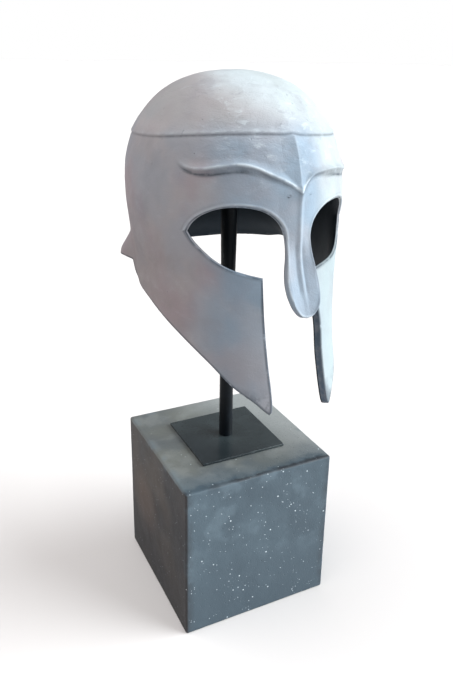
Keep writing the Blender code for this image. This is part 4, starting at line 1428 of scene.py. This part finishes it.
class StudioLook(bpy.types.PropertyGroup):
    """The floor, the light and the camera round the helmet."""

    floor: colour("Floor", rgb(202, 197, 195), "The floor")
    floor_radius: length("Floor radius", 30.0, "Radius of the round floor", 100.0)
    key_strength: number("Key light", 9.6, "Strength of the light on the helmet's left side")
    key_colour: colour("Key colour", (0.88, 0.95, 0.985), "Colour of the key light")
    top_strength: number("Top light", 3.1, "Strength of the light from above")
    top_colour: colour("Top colour", (0.97, 0.99, 1.0), "Colour of the light from above")
    ambient: number("Room light", 0.27, "Strength of the even light of the room")
    ambient_colour: colour("Room colour", (1.0, 0.97, 0.98), "Colour of the even light of the room")
    lens: number("Lens", 35.716, "Focal length of the camera in millimetres")


# ---------------------------------------------------------------- operators


def stand_in(piece, node):
    """Puts a finished piece in the place of a node of the model, and ends its operator."""
    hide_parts(node)
    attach(piece, BODY)
    return {"FINISHED"}


class HELMET_OT_wall(bpy.types.Operator):
    """Make the helmet's cast wall with its ridges, lips and seam"""

    bl_idname = "helmet.make_wall"
    bl_label = "Helmet"

    def execute(self, context):
        form = context.scene.helmet_form
        shell = wall_mesh(form)
        mesh = bpy.data.meshes.new("helmet")
        shell.to_mesh(mesh)
        shell.free()
        sizes = {
            "Hammer depth": form.hammer_depth, "Hammer size": form.hammer_size,
            "Brush depth": form.brush_depth, "Brush size": form.brush_size,
            "Inside depth": form.inside_depth, "Seed": 3.7,
            "Material": whitewashed_cast(context.scene.helmet_finishes),
        }
        wall = grown("helmet", mesh, cast_surface_group(), sizes)
        return stand_in(wall, "helmet_shell")


class HELMET_OT_post(bpy.types.Operator):
    """Make the round post that holds the helmet"""

    bl_idname = "helmet.make_post"
    bl_label = "Post"

    def execute(self, context):
        form = context.scene.helmet_stand
        middle = (POST_LOW + POST_HIGH) / 2
        sizes = {
            "Start": (middle.x, middle.y, POST_LOW.z), "End": (middle.x, middle.y, POST_HIGH.z),
            "Radius": (POST_HIGH.x - POST_LOW.x) / 2, "Top round": form.post_round, "Swell": form.post_swell,
            "Sides": 64, "Rows": 500, "Material": black_paint(context.scene.helmet_finishes),
        }
        post = grown("post_rod", bpy.data.meshes.new("post_rod"), rod_group(), sizes)
        return stand_in(post, "post")


def rounded_box(name, low, high, sizes):
    """A box from its corners, with rounded edges."""
    values = {"Size": tuple(high - low), "Centre": tuple((low + high) / 2), **sizes}
    return grown(name, bpy.data.meshes.new(name), rounded_box_group(), values)


class HELMET_OT_plate(bpy.types.Operator):
    """Make the square plate at the foot of the post"""

    bl_idname = "helmet.make_plate"
    bl_label = "Plate"

    def execute(self, context):
        sizes = {
            "Edge radius": context.scene.helmet_stand.plate_round, "Rows": 90, "Layers": 12,
            "Unevenness": 0.0001, "Chips": 0.0, "Seed": 1.3,
            "Material": black_steel(context.scene.helmet_finishes),
        }
        plate = rounded_box("foot_plate", PLATE_LOW, PLATE_HIGH, sizes)
        return stand_in(plate, "base_plate")


class HELMET_OT_block(bpy.types.Operator):
    """Make the stone block with its softened and chipped edges"""

    bl_idname = "helmet.make_block"
    bl_label = "Stone block"

    def execute(self, context):
        form = context.scene.helmet_stand
        sizes = {
            "Edge radius": form.block_round, "Rows": 120, "Layers": 120, "Unevenness": form.block_unevenness,
            "Chips": form.block_chips, "Seed": 5.1, "Material": speckled_stone(context.scene.helmet_finishes),
        }
        block = rounded_box("block", BLOCK_LOW, BLOCK_HIGH, sizes)
        return stand_in(block, "stone_block")


CAMERA_PLACE = (-0.3301444, -0.66101096, 0.63240084)
CAMERA_TURN = -0.451346179817449  # radians, to the right of the helmet's axis
CAMERA_DIP = 0.332920483913155
CAMERA_LEAN = 0.01245324908645948
CAMERA_SHIFT = (0.00904, -0.0903)
SENSOR = 36.0
KEY_FROM, KEY_SPREAD = (1.0, -0.58, 0.36), 60.0  # where a light shines from, and its width in degrees
TOP_FROM, TOP_SPREAD = (-0.45, 0.1, 1.0), 80.0


def aim(turn, dip, lean):
    """Axes of a camera that is turned about the upright, dipped below level and leant to a side."""
    ahead = Vector((-math.sin(turn) * math.cos(dip), math.cos(turn) * math.cos(dip), -math.sin(dip)))
    right = ahead.cross(Vector((0.0, 0.0, 1.0))).normalized()
    over = right.cross(ahead)
    leant_right = right * math.cos(lean) + over * math.sin(lean)
    leant_over = over * math.cos(lean) - right * math.sin(lean)
    return Matrix((leant_right, leant_over, -ahead)).transposed()


def add_sun(name, from_point, strength, tint, spread):
    """A wide, soft, distant light that shines from a point towards the origin."""
    data = bpy.data.lights.new(name, "SUN")
    data.energy = strength
    data.color = tint
    data.angle = math.radians(spread)
    light = bpy.data.objects.new(name, data)
    light.location = from_point
    light.rotation_euler = Vector(from_point).to_track_quat("Z", "Y").to_euler()
    bpy.context.scene.collection.objects.link(light)


def room_light(look):
    """Even light from all round, white to the eye."""
    world = bpy.data.worlds.new("room")
    world.use_nodes = True
    world.node_tree.nodes.clear()
    tree = Tree(world.node_tree)
    room = tuple(part * look.ambient for part in look.ambient_colour)
    tone = tree.mix(tree.node("ShaderNodeLightPath"), room, (1.0, 1.0, 1.0))
    backdrop = tree.node("ShaderNodeBackground", {"Color": tone, "Strength": 1.0})
    tree.node("ShaderNodeOutputWorld", {"Surface": backdrop})
    bpy.context.scene.world = world


class HELMET_OT_stage(bpy.types.Operator):
    """Set up the floor, the light and the camera"""

    bl_idname = "helmet.make_stage"
    bl_label = "Stage"

    def execute(self, context):
        look = context.scene.helmet_studio
        sheet = bmesh.new()
        bmesh.ops.create_circle(sheet, cap_ends=True, segments=96, radius=look.floor_radius)
        mesh = bpy.data.meshes.new("floor")
        sheet.to_mesh(mesh)
        sheet.free()
        mesh.materials.append(pale_floor(look.floor))
        floor = bpy.data.objects.new("floor", mesh)
        context.scene.collection.objects.link(floor)

        add_sun("key", KEY_FROM, look.key_strength, look.key_colour, KEY_SPREAD)
        add_sun("top", TOP_FROM, look.top_strength, look.top_colour, TOP_SPREAD)
        room_light(look)

        data = bpy.data.cameras.new("camera")
        data.sensor_fit = "VERTICAL"
        data.sensor_width = data.sensor_height = SENSOR
        data.lens = look.lens
        data.shift_x, data.shift_y = CAMERA_SHIFT
        camera = bpy.data.objects.new("camera", data)
        axes = aim(CAMERA_TURN, CAMERA_DIP, CAMERA_LEAN).to_4x4()
        camera.matrix_world = Matrix.Translation(CAMERA_PLACE) @ axes
        context.scene.collection.objects.link(camera)
        context.scene.camera = camera
        context.scene.view_settings.view_transform = "Standard"
        return {"FINISHED"}


class HELMET_PT_panel(bpy.types.Panel):
    """Lists what makes the helmet, in order"""

    bl_idname = "HELMET_PT_panel"
    bl_label = "Gladiator helmet"
    bl_space_type = "VIEW_3D"
    bl_region_type = "UI"
    bl_category = "Helmet"

    def draw(self, context):
        for operator in OPERATORS:
            self.layout.operator(operator.bl_idname)
        for name in SETTINGS:
            group = getattr(context.scene, name)
            box = self.layout.box()
            for key in group.__annotations__:
                box.prop(group, key)


OPERATORS = (HELMET_OT_wall, HELMET_OT_post, HELMET_OT_plate, HELMET_OT_block, HELMET_OT_stage)
SETTINGS = {
    "helmet_form": HelmetForm,
    "helmet_stand": StandForm,
    "helmet_finishes": Finishes,
    "helmet_studio": StudioLook,
}


def register():
    for item in (*SETTINGS.values(), *OPERATORS, HELMET_PT_panel):
        bpy.utils.register_class(item)
    for name, group in SETTINGS.items():
        setattr(bpy.types.Scene, name, bpy.props.PointerProperty(type=group))


def unregister():
    for name in SETTINGS:
        delattr(bpy.types.Scene, name)
    for item in reversed((*SETTINGS.values(), *OPERATORS, HELMET_PT_panel)):
        bpy.utils.unregister_class(item)


def main():
    register()
    bpy.ops.helmet.make_wall()
    bpy.ops.helmet.make_post()
    bpy.ops.helmet.make_plate()
    bpy.ops.helmet.make_block()
    bpy.ops.helmet.make_stage()


if __name__ == "__main__":
    main()
